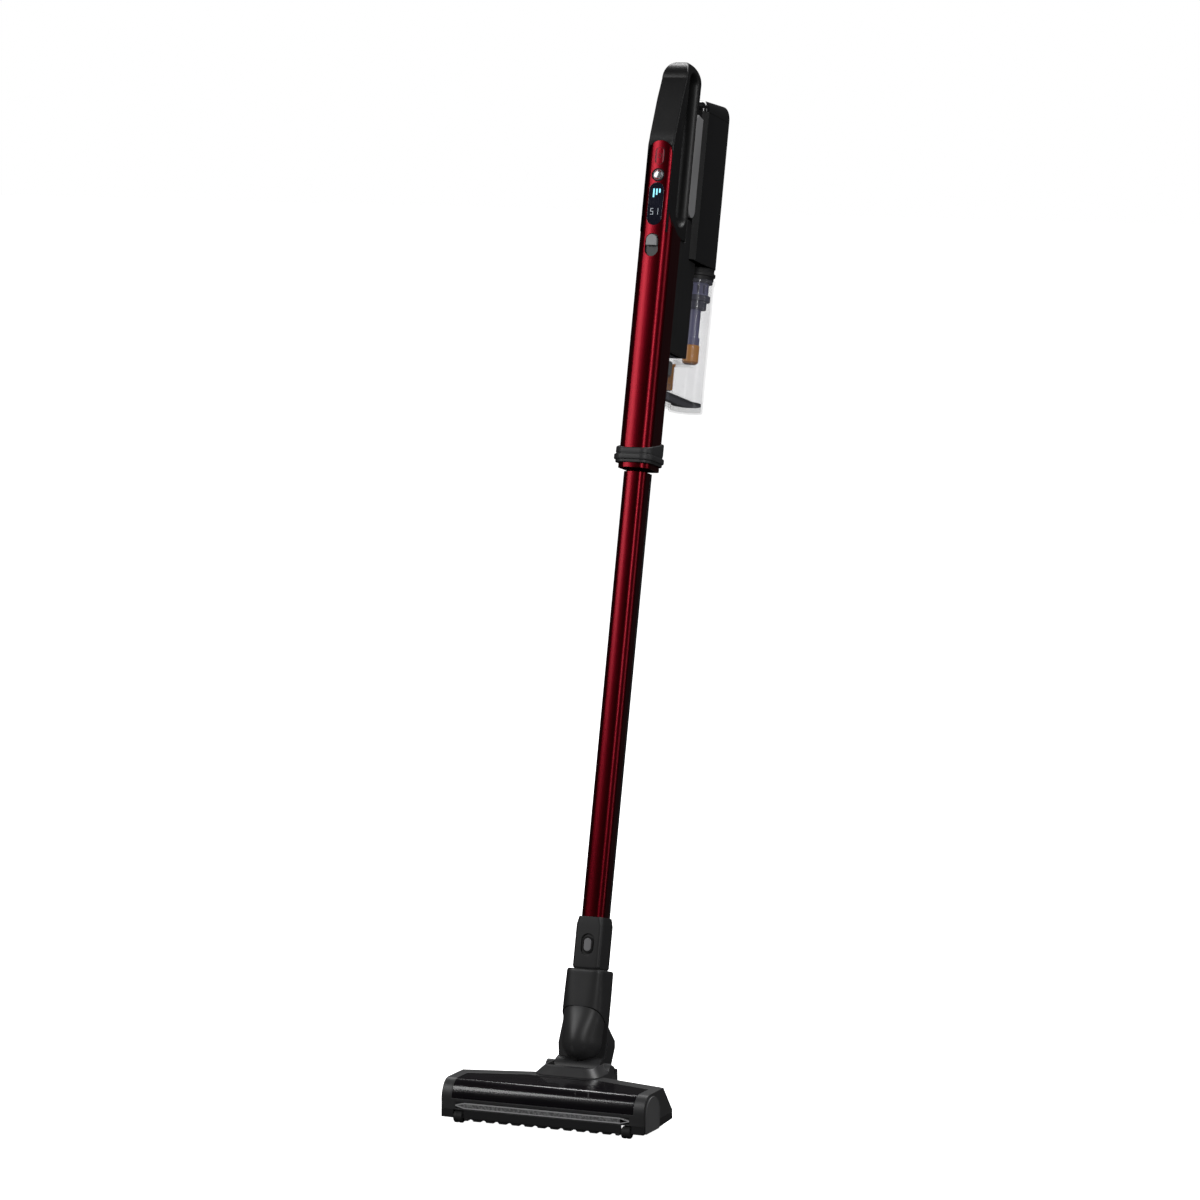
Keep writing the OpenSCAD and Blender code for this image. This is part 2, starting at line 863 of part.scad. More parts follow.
module brush_bristles() {
    color("#1a1a1a") on_wand() difference() {
        hull() {
            rounded_bar(ring_w - 4, ring_d - 4, ring_r - 2, ring_low_z - 1, ring_low_z - eps);
            rounded_bar(ring_w + 1.5, ring_d + 1.5, ring_r, bristle_low, bristle_low + 1);
        }
        rounded_bar(tube_w + 0.8, tube_d + 0.8, tube_r, 500, 700);
    }
}

// ---------- main tube and controls ----------

module tube_section(inset) {
    rounded_rect(tube_w - 2 * inset, tube_d - 2 * inset, tube_r - inset);
}

module main_tube() {
    color("#a00d22") on_wand() difference() {
        translate([0, 0, tube_low]) linear_extrude(tube_high - tube_low) tube_section(0);
        difference() {
            translate([0, 0, tube_low + 8])
                linear_extrude(tube_high - tube_low) tube_section(tube_wall);
            // solid band behind the slide switch
            translate([-tube_w, front_face, switch_low - 4])
                cube([2 * tube_w, 6, switch_high - switch_low + 8]);
        }
        // socket for the pipe
        rounded_bar(pipe_w, pipe_d, pipe_r, 500, tube_low + 9);
        translate([0, front_face - eps, 0]) pill(switch_w, switch_low, switch_high, 4);
        // air outlet to the dust case
        translate([0, 10, 697]) rotate([-90, 0, 0]) cylinder(r = 8, h = 20);
    }
}

// Side view of the panel: shallow above, curving back to the tube's full depth below
module panel_side_view() {
    flare_r = 25;
    difference() {
        union() {
            translate([front_face - 1, tube_high])
                square([panel_edge - front_face + 1, panel_high - tube_high]);
            translate([panel_edge - eps, tube_high]) square([flare_r, flare_r]);
        }
        translate([panel_edge + flare_r, tube_high + flare_r]) circle(r = flare_r);
    }
}

module panel_form() {
    intersection() {
        translate([0, 0, tube_high]) linear_extrude(panel_high - tube_high) tube_section(0);
        side_extrude(tube_w + 2) panel_side_view();
        translate([0, front_face - 1, 0]) union() {
            pill(2 * panel_half + 3, tube_high - 60, panel_high, tube_d);
            translate([-tube_w, 0, tube_high - 1]) cube([2 * tube_w, tube_d, 34]);
        }
    }
}

module control_panel() {
    color("#a00d22") on_wand() difference() {
        panel_form();
        translate([0, front_face + 2.5, tube_high - 1]) intersection() {
            translate([-tube_w, 0, 0]) cube([2 * tube_w, tube_d, 100]);
            translate([0, -front_face - 2.5, 0]) linear_extrude(100) tube_section(2.5);
        }
        translate([0, front_face - eps, 0]) pill(display_w, display_low, display_high, 1.2);
        translate([0, front_face - eps, 0])
            pill(display_w - 3, display_low + 2, display_high - 2, 4);
        translate([0, front_face - eps, mode_z]) rotate([-90, 0, 0])
            cylinder(r = mode_r + 0.2, h = 8);
        translate([0, front_face - eps, 0])
            pill(power_w + 0.4, power_low - 0.2, power_high + 0.2, 8);
    }
}

module display_window() {
    color("#0b0d22") on_wand() translate([0, front_face - 0.1, 0])
        pill(display_w - 0.1, display_low + 0.05, display_high - 0.05, 1.2);
}

module power_button() {
    color("#a00d22") on_wand() difference() {
        translate([0, front_face + 0.1, 0]) pill(power_w, power_low, power_high, 2);
        // engraved ring
        translate([0, front_face + 0.1 - eps, (power_low + power_high) / 2])
            rotate([-90, 0, 0]) difference() {
                cylinder(r = 2.8, h = 0.4);
                translate([0, 0, -1]) cylinder(r = 2.2, h = 3);
            }
    }
}

module mode_button() {
    color("gainsboro") on_wand() translate([0, front_face - 0.6, mode_z]) rotate([-90, 0, 0]) {
        cylinder(r = mode_r, h = 2.8);
        cylinder(r = mode_r - 1.6, h = 2.4);
    }
}

module switch_plate() {
    color("#55575a") on_wand() translate([0, front_face + 2.4, 0])
        pill(switch_w - 0.1, switch_low + 0.05, switch_high - 0.05, plate_t - 0.1);
}

module slide_switch() {
    knob_low = switch_high - knob_h - 1.2;
    color("lightgray") on_wand() intersection() {
        translate([0, front_face - knob_proud, 0])
            pill(knob_w, knob_low - 6, knob_low + knob_h, 4 + knob_proud - plate_t - 0.2);
        translate([-knob_w, front_face - 10, knob_low]) cube([2 * knob_w, 30, 40]);
    }
}

module control_board() {
    color("darkgreen") on_wand() {
        translate([-10, -9, tube_high + 6]) cube([20, 1.6, 66]);
        for (i = [0 : 2])
            translate([-6, -7.4 - eps, tube_high + 12 + 18 * i]) cube([12, 2, 10]);
    }
}

// ---------- handle and frame ----------

// Outer side view: straight column, leaning grip, top arch and rear bar
module handle_side_view() {
    union() {
        polygon([[front_face, tube_high], [bar_back, tube_high], [bar_back, grip_bend_z],
                 [grip_low_y, grip_bend_z]]);
        polygon([[grip_low_y, grip_bend_z - 1], [bar_back, grip_bend_z - 1],
                 [arch_y + arch_r, arch_z], [arch_y - arch_r, arch_z]]);
        translate([arch_y, arch_z]) circle(r = arch_r);
        // broad cheek that reaches back to the motor unit
        polygon([[bar_back - 1, spine_top + 0.2], [unit_front - 0.2, spine_top + 0.2],
                 [unit_front - 0.2, cheek_top], [bar_back - 1, cheek_top + 6]]);
    }
}

// The finger opening in the same view
module finger_side_view() {
    low_mid = (slot_front_y + slot_back_y) / 2;
    low_r = (slot_back_y - slot_front_y) / 2;
    union() {
        translate([low_mid, slot_low + low_r]) circle(r = low_r);
        polygon([[slot_front_y, slot_low + low_r], [slot_back_y, slot_low + low_r],
                 [arch_y + slot_r, arch_z - 2], [arch_y - slot_r, arch_z - 2]]);
        translate([arch_y, arch_z - 2]) circle(r = slot_r);
    }
}

module handle_frame() {
    hollow_half = 11;
    color("#1b1b1d") on_wand() difference() {
        side_extrude(grip_w) difference() {
            handle_side_view();
            finger_side_view();
        }
        // seat of the control panel and the space behind it
        translate([0, 0, 0]) panel_form();
        translate([-hollow_half, front_face - 1, tube_high - 1])
            cube([2 * hollow_half, 16, panel_high - tube_high - 6]);
        translate([-hollow_half, front_face + 2, tube_high - 1]) cube([2 * hollow_half, 30, 12]);
        // edges of the grip trimmed along its front corners
        for (side = side_names)
            translate([side * grip_w / 2, front_face, tube_high - 1]) rotate([0, 0, 45])
                translate([-2.5, -2.5, 0]) cube([5, 5, panel_high + 200]);
    }
}

module frame_spine() {
    web = 3;
    color("#202022") on_wand() difference() {
        side_extrude(2 * spine_half) polygon([
            [tube_d / 2 + 0.1, spine_low], [spine_back, spine_low],
            [spine_back, unit_low - 1], [unit_front - 0.2, unit_low - 1],
            [unit_front - 0.2, spine_top - 6], [unit_front - 6, spine_top],
            [bar_back + 0.1, spine_top], [bar_back + 0.1, tube_high - 0.1],
            [tube_d / 2 + 0.1, tube_high - 0.1]]);
        translate([-spine_half + web, tube_d / 2 + web, spine_low - 1])
            cube([2 * (spine_half - web), spine_back - tube_d / 2 - 2 * web - 3, 90]);
        // room for the round dust case behind
        translate([0, unit_y, 0]) cylinder(r = case_r + 24, h = 600);
    }
}

// ---------- motor unit ----------

module unit_section(inset) {
    r = unit_r - inset;
    translate([0, unit_y]) circle(r = r);
    translate([-r, unit_seam + inset]) square([2 * r, unit_y - unit_seam - inset]);
    polygon([[-12 + inset, unit_front + inset], [12 - inset, unit_front + inset],
             [r, unit_seam + inset], [-r, unit_seam + inset]]);
}

module unit_shell(low, high) {
    translate([0, 0, low]) linear_extrude(high - low) difference() {
        unit_section(0);
        unit_section(unit_wall);
    }
}

module unit_half(front) {
    translate([-50, front ? 0 : unit_seam + 0.1, 0])
        cube([100, front ? unit_seam : 200, 2000]);
}

module housing_front() {
    color("#2a2a2c") on_wand() intersection() {
        unit_shell(unit_low + 0.2, cap_low - 0.1);
        unit_half(true);
    }
}

module housing_rear() {
    color("#0d0d0f") on_wand() difference() {
        union() {
            intersection() {
                unit_shell(unit_low + 0.2, cap_low - 0.1);
                unit_half(false);
            }
            // floor ring that carries the filter cap
            translate([0, unit_y, unit_low + 0.2]) difference() {
                cylinder(r = unit_r - 1, h = 3);
                translate([0, 0, -1]) cylinder(r = 8, h = 6);
            }
        }
        translate([-latch_w / 2 - 0.3, unit_y + unit_r - 4, unit_low - 1]) cube([latch_w + 0.6, 8, 14]);
        // exhaust slits across the back, level with the motor
        for (i = [0 : slit_count - 1])
            translate([-8, unit_y, motor_low + slit_pitch * i]) cube([16, 2 * unit_r, slit_w]);
    }
}

module housing_cap() {
    color("#0d0d0f") on_wand() difference() {
        union() {
            translate([0, 0, cap_low]) linear_extrude(unit_high - cap_low - cap_round / 2)
                unit_section(0);
            hull() {
                translate([0, 0, cap_low + 2]) linear_extrude(1) unit_section(0);
                translate([0, 0, unit_high - 3.5]) linear_extrude(1) unit_section(1);
                translate([0, 0, unit_high - 1]) linear_extrude(1) unit_section(4);
            }
        }
        translate([0, 0, cap_low - 1]) linear_extrude(3.5) unit_section(unit_wall);
    }
}

module battery_cells() {
    color("steelblue") on_wand() for (y = cell_ys)
        translate([0, y, cell_low]) {
            cylinder(r = cell_r, h = cell_len);
            translate([0, 0, cell_len]) cylinder(r = 3, h = 1);
        }
}

module motor_can() {
    color("silver") on_wand() difference() {
        translate([0, unit_y, motor_low]) {
            cylinder(r = motor_r, h = motor_high - motor_low);
            translate([0, 0, motor_high - motor_low]) cylinder(r = 5, h = 3);
        }
        translate([0, unit_y, motor_low - 1]) cylinder(r = shaft_r + run_fit, h = 12);
        for (i = [0 : 5])
            translate([0, unit_y, motor_low + 4]) rotate([0, 0, 60 * i])
                translate([motor_r - 1.2, -3, 0]) cube([3, 6, 12]);
    }
}

module suction_fan() {
    color("#c8c8c8") on_wand() translate([0, unit_y, fan_low]) {
        cylinder(r = fan_r, h = 1);
        cylinder(r = 3.5, h = fan_high - fan_low);
        cylinder(r = shaft_r, h = motor_low - fan_low + 10);
        for (i = [0 : fan_blades - 1])
            rotate([0, 0, 360 * i / fan_blades])
                translate([3, -0.4, 0.5]) cube([fan_r - 4, 0.8, fan_high - fan_low - 1.5]);
    }
}

module case_latch() {
    color("#222224") on_wand() {
        translate([-latch_w / 2, unit_y + unit_r - 2.2, unit_low + 0.5])
            cube([latch_w, 4.2, 12]);
        for (i = [0 : 2])
            translate([-latch_w / 2 + 1, unit_y + unit_r + 2 - eps, unit_low + 3 + 3 * i])
                cube([latch_w - 2, 0.6, 1.2]);
    }
}

// ---------- dust case ----------

module filter_cap() {
    color("#1a1a1c") on_wand() translate([0, unit_y, 0]) difference() {
        union() {
            translate([0, 0, case_high + 0.1])
                cylinder(r = case_r - 1.2, h = unit_low - case_high - 0.2);
            translate([0, 0, case_high + 4]) cylinder(r = case_r + 0.3, h = 3);
            translate([0, 0, case_high - 3]) cylinder(r = case_r - case_wall - 0.1, h = 4);
        }
        translate([0, 0, case_high - 5]) cylinder(r = 7, h = 30);
    }
}

module case_outline(inset) {
    translate([0, unit_y]) circle(r = case_r - inset);
    translate([-case_half + inset, case_front + inset])
        square([2 * (case_half - inset), unit_y - case_front - inset]);
}

module dust_case() {
    color("#d9d6ea", 0.35) on_wand() difference() {
        union() {
            translate([0, unit_y, case_low]) cylinder(r = case_r, h = case_high - case_low);
            translate([0, unit_y, case_high - 4]) cylinder(r = case_r + 1, h = 4);
            translate([0, 0, case_low]) linear_extrude(case_box_top - case_low) case_outline(0);
            // ears that carry the lid's pin
            for (side = side_names)
                translate([side * (case_half + 1) - 0.8, lid_pin_y - 3, lid_pin_z - 3])
                    cube([1.6, 6, case_low - lid_pin_z + 8]);
        }
        translate([0, unit_y, case_low - 1])
            cylinder(r = case_r - case_wall, h = case_high - case_low + 2);
        translate([0, 0, case_low - 1]) linear_extrude(case_box_top - case_low + 1 - case_wall)
            case_outline(case_wall);
        // mouth towards the main tube
        translate([-8.2, case_front - 5, case_low + 4]) cube([16.4, 10, case_box_top - case_low - 8]);
    }
    color("#d9d6ea") on_wand()
        x_rod(lid_pin_r - run_fit, -case_half - 1, case_half + 1, lid_pin_y, lid_pin_z);
}

module filter_basket() {
    slat_low = basket_low + 2;
    slat_high = case_high - 5;
    color("#8f8fb5") on_wand() translate([0, unit_y, 0]) difference() {
        translate([0, 0, basket_low]) cylinder(r = basket_r, h = case_high - 3.1 - basket_low);
        translate([0, 0, basket_low + 1.5]) cylinder(r = basket_r - 2, h = 40);
        for (i = [0 : slat_count - 1])
            translate([0, 0, slat_low]) rotate([0, 0, 360 * i / slat_count])
                translate([basket_r - 4, -slat_w / 2, 0]) cube([8, slat_w, slat_high - slat_low]);
    }
}

module cyclone_core() {
    color("#a9a7c6") on_wand() translate([0, unit_y, 0]) difference() {
        union() {
            translate([0, 0, 779]) cylinder(r = skirt_r, h = basket_low - 779);
            translate([0, 0, 771]) cylinder(r = basket_r - 1, h = 9);
            translate([0, 0, cup_high]) cylinder(r = core_r, h = 40);
            translate([0, 0, cup_high]) cylinder(r = core_r + 1.2, h = 8);
        }
        translate([0, 0, cup_high - 1]) cylinder(r = core_r - 1.6, h = 60);
    }
}

module cyclone_cup() {
    color("orange") on_wand() translate([0, unit_y, 0]) difference() {
        union() {
            translate([0, 0, cup_low + 2]) cylinder(r = cup_r, h = cup_high - cup_low - 2.1);
            translate([0, 0, cup_low]) cylinder(r1 = cup_r - 2, r2 = cup_r, h = 2);
        }
        translate([0, 0, cup_low + 2]) cylinder(r = cup_r - 1.6, h = 30);
    }
}

module inlet_duct() {
    duct_half = 8;
    color("#5d665f") on_wand() difference() {
        union() {
            translate([-duct_half, tube_d / 2 + 0.1, duct_low])
                cube([2 * duct_half, duct_back - tube_d / 2 - 0.1, case_box_top - duct_low - 4.2]);
            translate([-duct_half, tube_d / 2 + 0.1, duct_low - 10])
                cube([2 * duct_half, 15, 10.1]);
        }
        translate([0, 0, 700]) rotate([-90, 0, 0]) cylinder(r = 5.4, h = 60);
    }
}

module inlet_flap() {
    color("orange") on_wand() {
        translate([-8.5, flap_y, flap_low]) cube([17, flap_t, flap_z - flap_low]);
        x_rod(1.4, -9.5, 9.5, flap_y + flap_t / 2, flap_z);
        translate([-5, flap_y + flap_t - eps, flap_low]) cube([10, 4, 2]);
    }
}

module case_lid() {
    lid_wall = 1.6;
    color("#cfd0d6", 0.5) on_wand() difference() {
        union() {
            difference() {
                translate([0, 0, lid_low]) linear_extrude(lid_plate - lid_low) case_outline(0);
                translate([0, 0, lid_low + lid_wall])
                    linear_extrude(lid_plate - lid_low) case_outline(lid_wall);
            }
            translate([0, 0, lid_plate]) linear_extrude(case_low - lid_plate - gap)
                case_outline(0.4);
            x_rod(3.2, -case_half, case_half, lid_pin_y, lid_pin_z);
        }
        x_rod(lid_pin_r, -50, 50, lid_pin_y, lid_pin_z);
    }
}

head_base();
head_cover();
head_window();
light_strip();
front_bumper();
end_cap_left();
end_cap_right();
neck_saddle();
suction_elbow();
brush_motor();
drive_belt();
roller_bearings();
wheel_axles();
head_screws();
pitch_pins();
roller_core();
roller_bristles();
motor_pinion();
front_wheel_left();
front_wheel_right();
rear_wheel_left();
rear_wheel_right();
neck_fork();
neck_dome();
swivel_ring();
neck_housing();
lower_connector();
connector_button();
button_spring();
extension_pipe();
pipe_cover();
conductor_strip();
pipe_latch();
brush_ring();
brush_bristles();
main_tube();
control_panel();
display_window();
power_button();
mode_button();
switch_plate();
slide_switch();
control_board();
handle_frame();
frame_spine();
housing_front();
housing_rear();
housing_cap();
battery_cells();
motor_can();
suction_fan();
case_latch();
filter_cap();
dust_case();
filter_basket();
cyclone_core();
cyclone_cup();
inlet_duct();
inlet_flap();
case_lid();
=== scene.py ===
import json
import math

import bmesh
import bpy
from mathutils import Matrix, Vector
from mathutils.geometry import tessellate_polygon


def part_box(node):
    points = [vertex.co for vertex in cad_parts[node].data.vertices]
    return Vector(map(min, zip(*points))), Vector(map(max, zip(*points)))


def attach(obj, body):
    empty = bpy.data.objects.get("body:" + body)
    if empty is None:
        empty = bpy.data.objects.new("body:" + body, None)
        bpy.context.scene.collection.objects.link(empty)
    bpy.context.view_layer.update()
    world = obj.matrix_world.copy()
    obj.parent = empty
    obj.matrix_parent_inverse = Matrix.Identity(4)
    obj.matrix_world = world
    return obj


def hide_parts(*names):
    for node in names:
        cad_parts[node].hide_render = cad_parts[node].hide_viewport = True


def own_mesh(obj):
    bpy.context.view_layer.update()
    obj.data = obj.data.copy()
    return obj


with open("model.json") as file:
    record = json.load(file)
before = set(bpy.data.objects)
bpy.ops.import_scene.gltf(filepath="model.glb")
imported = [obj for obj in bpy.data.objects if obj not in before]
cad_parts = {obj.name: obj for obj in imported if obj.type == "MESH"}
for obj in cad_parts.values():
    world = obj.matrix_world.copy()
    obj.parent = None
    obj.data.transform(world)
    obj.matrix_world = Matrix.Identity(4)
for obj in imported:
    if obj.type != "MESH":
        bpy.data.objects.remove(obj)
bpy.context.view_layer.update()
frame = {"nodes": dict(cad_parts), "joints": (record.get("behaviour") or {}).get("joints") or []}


# ---------------------------------------------------------------- the studio
# A pale floor that runs on out of sight, soft lights in front to the left and right of the machine,
# a strip at its right side, a wide one overhead and one behind it. The camera stands a little
# right of the machine's front and looks slightly down on it.

class Value:
    """A node's output, so that the maths between nodes reads as an expression."""

    def __init__(self, graph, output):
        self.graph, self.output = graph, output

    def maths(self, operation, *others, clamp=False):
        return self.graph.node("ShaderNodeMath", {"operation": operation, "use_clamp": clamp},
                               {i: v for i, v in enumerate((self, *others))})

    def __add__(self, other): return self.maths("ADD", other)
    def __radd__(self, other): return self.maths("ADD", other)
    def __mul__(self, other): return self.maths("MULTIPLY", other)
    def __rmul__(self, other): return self.maths("MULTIPLY", other)
    def __sub__(self, other): return self.maths("SUBTRACT", other)
    def __rsub__(self, other):
        return self.graph.node("ShaderNodeMath", {"operation": "SUBTRACT"}, {0: other, 1: self})

    def step(self, low, high):
        """0 below low, 1 above high, smooth between."""
        return self.graph.node("ShaderNodeMapRange", {"interpolation_type": "SMOOTHSTEP"},
                               {0: self, 1: low, 2: high})

    def other(self, name):
        return Value(self.graph, self.output.node.outputs[name])


class Graph:
    """A node tree that is filled with one method."""

    def __init__(self, tree):
        self.tree = tree

    def node(self, kind, settings=None, inputs=None, out=0):
        made = self.tree.nodes.new(kind)
        for key, value in (settings or {}).items():
            if key == "stops":
                ramp = made.color_ramp.elements
                while len(ramp) < len(value):
                    ramp.new(0.5)
                for spot, (place, colour) in zip(ramp, value):
                    spot.position, spot.color = place, (*colour, 1)
            else:
                setattr(made, key, value)
        for key, value in (inputs or {}).items():
            if isinstance(value, Value):
                self.tree.links.new(value.output, made.inputs[key])
            else:
                made.inputs[key].default_value = value
        return Value(self, made.outputs[out])


class Finish(Graph):
    """A surface material: one Principled shader with constant sockets, and the graph around it."""

    def __init__(self, name, **constants):
        self.material = bpy.data.materials.new(name)
        self.material.use_nodes = True
        super().__init__(self.material.node_tree)
        self.shader = self.tree.nodes["Principled BSDF"]
        for key, value in constants.items():
            self.shader.inputs[key.replace("_", " ")].default_value = value

    def place(self, stretch=(1, 1, 1), turn=(0, 0, 0)):
        spot = self.node("ShaderNodeTexCoord", out="Object")
        return self.node("ShaderNodeMapping", {}, {
            "Vector": spot, "Scale": stretch, "Rotation": turn})

    def noise(self, scale, detail=2.0, stretch=(1, 1, 1), turn=(0, 0, 0)):
        return self.node("ShaderNodeTexNoise", {}, {
            "Vector": self.place(stretch, turn), "Scale": scale, "Detail": detail})

    def mix(self, amount, low, high):
        return self.node("ShaderNodeMix", {"data_type": "RGBA"}, {
            0: amount, 6: (*low, 1) if isinstance(low, tuple) else low,
            7: (*high, 1) if isinstance(high, tuple) else high}, out=2)

    def feed(self, **sockets):
        for key, value in sockets.items():
            self.tree.links.new(value.output, self.shader.inputs[key.replace("_", " ")])
        return self

    def bump(self, height, depth, strength=1.0):
        return self.feed(Normal=self.node("ShaderNodeBump", {}, {
            "Height": height, "Distance": depth, "Strength": strength}))


studio = bpy.context.scene
studio.view_settings.view_transform = "Standard"
camera_data = bpy.data.cameras.new("view")
camera_data.lens = 164.7
camera_data.sensor_width = 36.0
camera = bpy.data.objects.new("view", camera_data)
camera.location = (2.0924, -4.9372, 1.1769)
looked_at = Vector((0.0515, -0.1988, 0.5137))
camera.rotation_euler = (looked_at - camera.location).to_track_quat("-Z", "Y").to_euler()
studio.collection.objects.link(camera)
studio.camera = camera

floor_half = 14.0
floor_mesh = bpy.data.meshes.new("floor")
floor_mesh.from_pydata([(-floor_half, -floor_half, 0), (floor_half, -floor_half, 0),
                        (floor_half, floor_half, 0), (-floor_half, floor_half, 0)],
                       [], [(0, 1, 2, 3)])
floor = bpy.data.objects.new("floor", floor_mesh)
studio.collection.objects.link(floor)
paper = Finish("studio_paper", Roughness=0.9, Specular_IOR_Level=0.0, Emission_Strength=1.1)
paper_tone = paper.mix(paper.noise(2.0), (0.93, 0.93, 0.93), (0.97, 0.97, 0.97))
paper.feed(Base_Color=paper_tone, Emission_Color=paper_tone)
floor_mesh.materials.append(paper.material)
floor.visible_glossy = False
floor.visible_diffuse = False

world = bpy.data.worlds.new("studio")
world.use_nodes = True
studio.world = world
sky = Graph(world.node_tree)
backdrop = world.node_tree.nodes["Background"]
seen = sky.node("ShaderNodeLightPath", out="Is Camera Ray")
room_level = 0.03
world.node_tree.links.new((seen * (1.0 - room_level) + room_level).output,
                          backdrop.inputs["Strength"])
backdrop.inputs["Color"].default_value = (1, 1, 1, 1)


def soft_light(name, azimuth, rise, away, width, height, power):
    """A rectangle of light: its direction from the machine, in degrees, and its distance."""
    aim = Vector((0, -0.1, 0.55))
    turn, lift = math.radians(azimuth), math.radians(rise)
    spot = aim + away * Vector((math.sin(turn) * math.cos(lift), -math.cos(turn) * math.cos(lift),
                                math.sin(lift)))
    data = bpy.data.lights.new(name, "AREA")
    data.shape = "RECTANGLE"
    data.size, data.size_y, data.energy = width, height, power
    light = bpy.data.objects.new(name, data)
    light.location = spot
    light.rotation_euler = (aim - spot).to_track_quat("-Z", "Y").to_euler()
    studio.collection.objects.link(light)


soft_light("left_window", -38, 29, 3.0, 0.7, 1.5, 24)
soft_light("right_window", 42, 27, 3.0, 0.35, 1.7, 21)
soft_light("side_strip", 92, 12, 2.6, 0.4, 2.0, 6)
soft_light("overhead", 150, 62, 2.8, 2.2, 0.7, 40)
soft_light("rear_window", 198, 50, 3.0, 1.6, 1.0, 45)


# ---------------------------------------------------------------- floor head
# Black ABS shell in two halves screwed together round the suction mouth: a satin base, a cover
# whose glossy smoked window lets the brush show through, grey end caps clipped on at the sides
# and a toothed lip along the front that lets crumbs through.

nodes = frame["nodes"]
mm = 0.001


def plastic(name, colour, rough, grain=1300.0, depth=0.00002, **constants):
    """Moulded plastic: fine spark-eroded grain, faint flow marks and handling marks."""
    made = Finish(name, **constants)
    fine = made.noise(grain, 1.0)
    broad = made.noise(26.0, 4.0)
    scuff = made.noise(90.0, 6.0, (1, 1, 0.25)).step(0.56, 0.72)
    pale = tuple(min(1.0, c * 1.22 + 0.0015) for c in colour)
    dark = tuple(c * 0.84 for c in colour)
    made.feed(Base_Color=made.mix(broad, dark, pale),
              Roughness=rough + (broad - 0.5) * 0.10 + (fine - 0.5) * 0.08 + scuff * 0.05)
    return made.bump(fine, depth)


def as_piece(name, mesh, material, sharp=32.0):
    """Makes an object of a mesh, smooth across its faces and crisp where they meet sharply."""
    mesh.name = name
    mesh.materials.clear()
    mesh.materials.append(material)
    for face in mesh.polygons:
        face.use_smooth = True
    mesh.set_sharp_from_angle(angle=math.radians(sharp))
    piece = bpy.data.objects.new(name, mesh)
    studio.collection.objects.link(piece)
    weigh = piece.modifiers.new("weigh", "WEIGHTED_NORMAL")
    weigh.keep_sharp = True
    shaded = bpy.data.meshes.new_from_object(
        piece.evaluated_get(bpy.context.evaluated_depsgraph_get()))
    piece.modifiers.clear()
    piece.data = shaded
    shaded.name = name
    return piece


def eased(node, width, material, steps=3, angle=28.0, sharp=32.0):
    """A copy of a solid whose sharp edges are rounded by width millimetres."""
    mesh = nodes[node].data.copy()
    work = bmesh.new()
    work.from_mesh(mesh)
    bmesh.ops.remove_doubles(work, verts=work.verts, dist=2e-6)
    bmesh.ops.dissolve_limit(work, angle_limit=math.radians(0.4), verts=work.verts,
                             edges=work.edges)
    work.to_mesh(mesh)
    work.free()
    holder = bpy.data.objects.new("holder", mesh)
    studio.collection.objects.link(holder)
    bevel = holder.modifiers.new("bevel", "BEVEL")
    bevel.width = width * mm
    bevel.segments = steps
    bevel.limit_method = "ANGLE"
    bevel.angle_limit = math.radians(angle)
    bevel.harden_normals = False
    bevel.use_clamp_overlap = True
    shaped = bpy.data.meshes.new_from_object(
        holder.evaluated_get(bpy.context.evaluated_depsgraph_get()))
    bpy.data.objects.remove(holder)
    return as_piece(node + "_skin", shaped, material, sharp)


shell_black = plastic("head_shell", (0.048, 0.048, 0.049), 0.38)
base_black = plastic("head_base_plastic", (0.024, 0.024, 0.025), 0.46)
cap_grey = plastic("end_cap_plastic", (0.115, 0.115, 0.118), 0.42, 1500.0, 0.00003)
window_gloss = Finish("smoked_window", Coat_Weight=0.25, Coat_Roughness=0.05,
                      Specular_IOR_Level=0.4)
window_swirl = window_gloss.noise(40.0, 5.0)
window_gloss.feed(
    Base_Color=window_gloss.mix(window_swirl, (0.006, 0.005, 0.007), (0.011, 0.009, 0.011)),
    Roughness=0.13 + window_swirl * 0.06,
    Alpha=0.86 + window_swirl * 0.04)

head_cover_skin = eased("head_cover", 0.9, shell_black.material)
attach(head_cover_skin, "head")
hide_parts("head_cover")

head_base_skin = eased("head_base", 0.6, base_black.material)
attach(head_base_skin, "head")
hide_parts("head_base")

head_window_skin = eased("head_window", 0.5, window_gloss.material)
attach(head_window_skin, "head")
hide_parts("head_window")

lip_skin = eased("front_bumper", 0.35, base_black.material)
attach(lip_skin, "head")
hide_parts("front_bumper")

joints = {j["name"]: j for j in frame["joints"]}
pivot = Vector(joints["neck_pitch"]["pos_m"])
front_y = pivot.y - 95 * mm


def head(x, back, up):
    """A point of the floor head, from millimetres across, back from its front and up."""
    return Vector((x * mm, front_y + back * mm, up * mm))


def arc(cx, cy, r, start, stop, steps=10):
    """Points on an arc between two angles in degrees, both ends included."""
    turn = [math.radians(start + (stop - start) * i / steps) for i in range(steps + 1)]
    return [(cx + r * math.cos(t), cy + r * math.sin(t)) for t in turn]


def clean(ring):
    """Drops doubled points from a closed row and turns it anticlockwise."""
    kept = []
    for p in ring:
        if not kept or math.dist(p, kept[-1]) > 1e-4:
            kept.append(p)
    if math.dist(kept[0], kept[-1]) <= 1e-4:
        kept.pop()
    area = sum(a[0] * b[1] - b[0] * a[1] for a, b in zip(kept, kept[1:] + kept[:1]))
    return kept if area > 0 else kept[::-1]


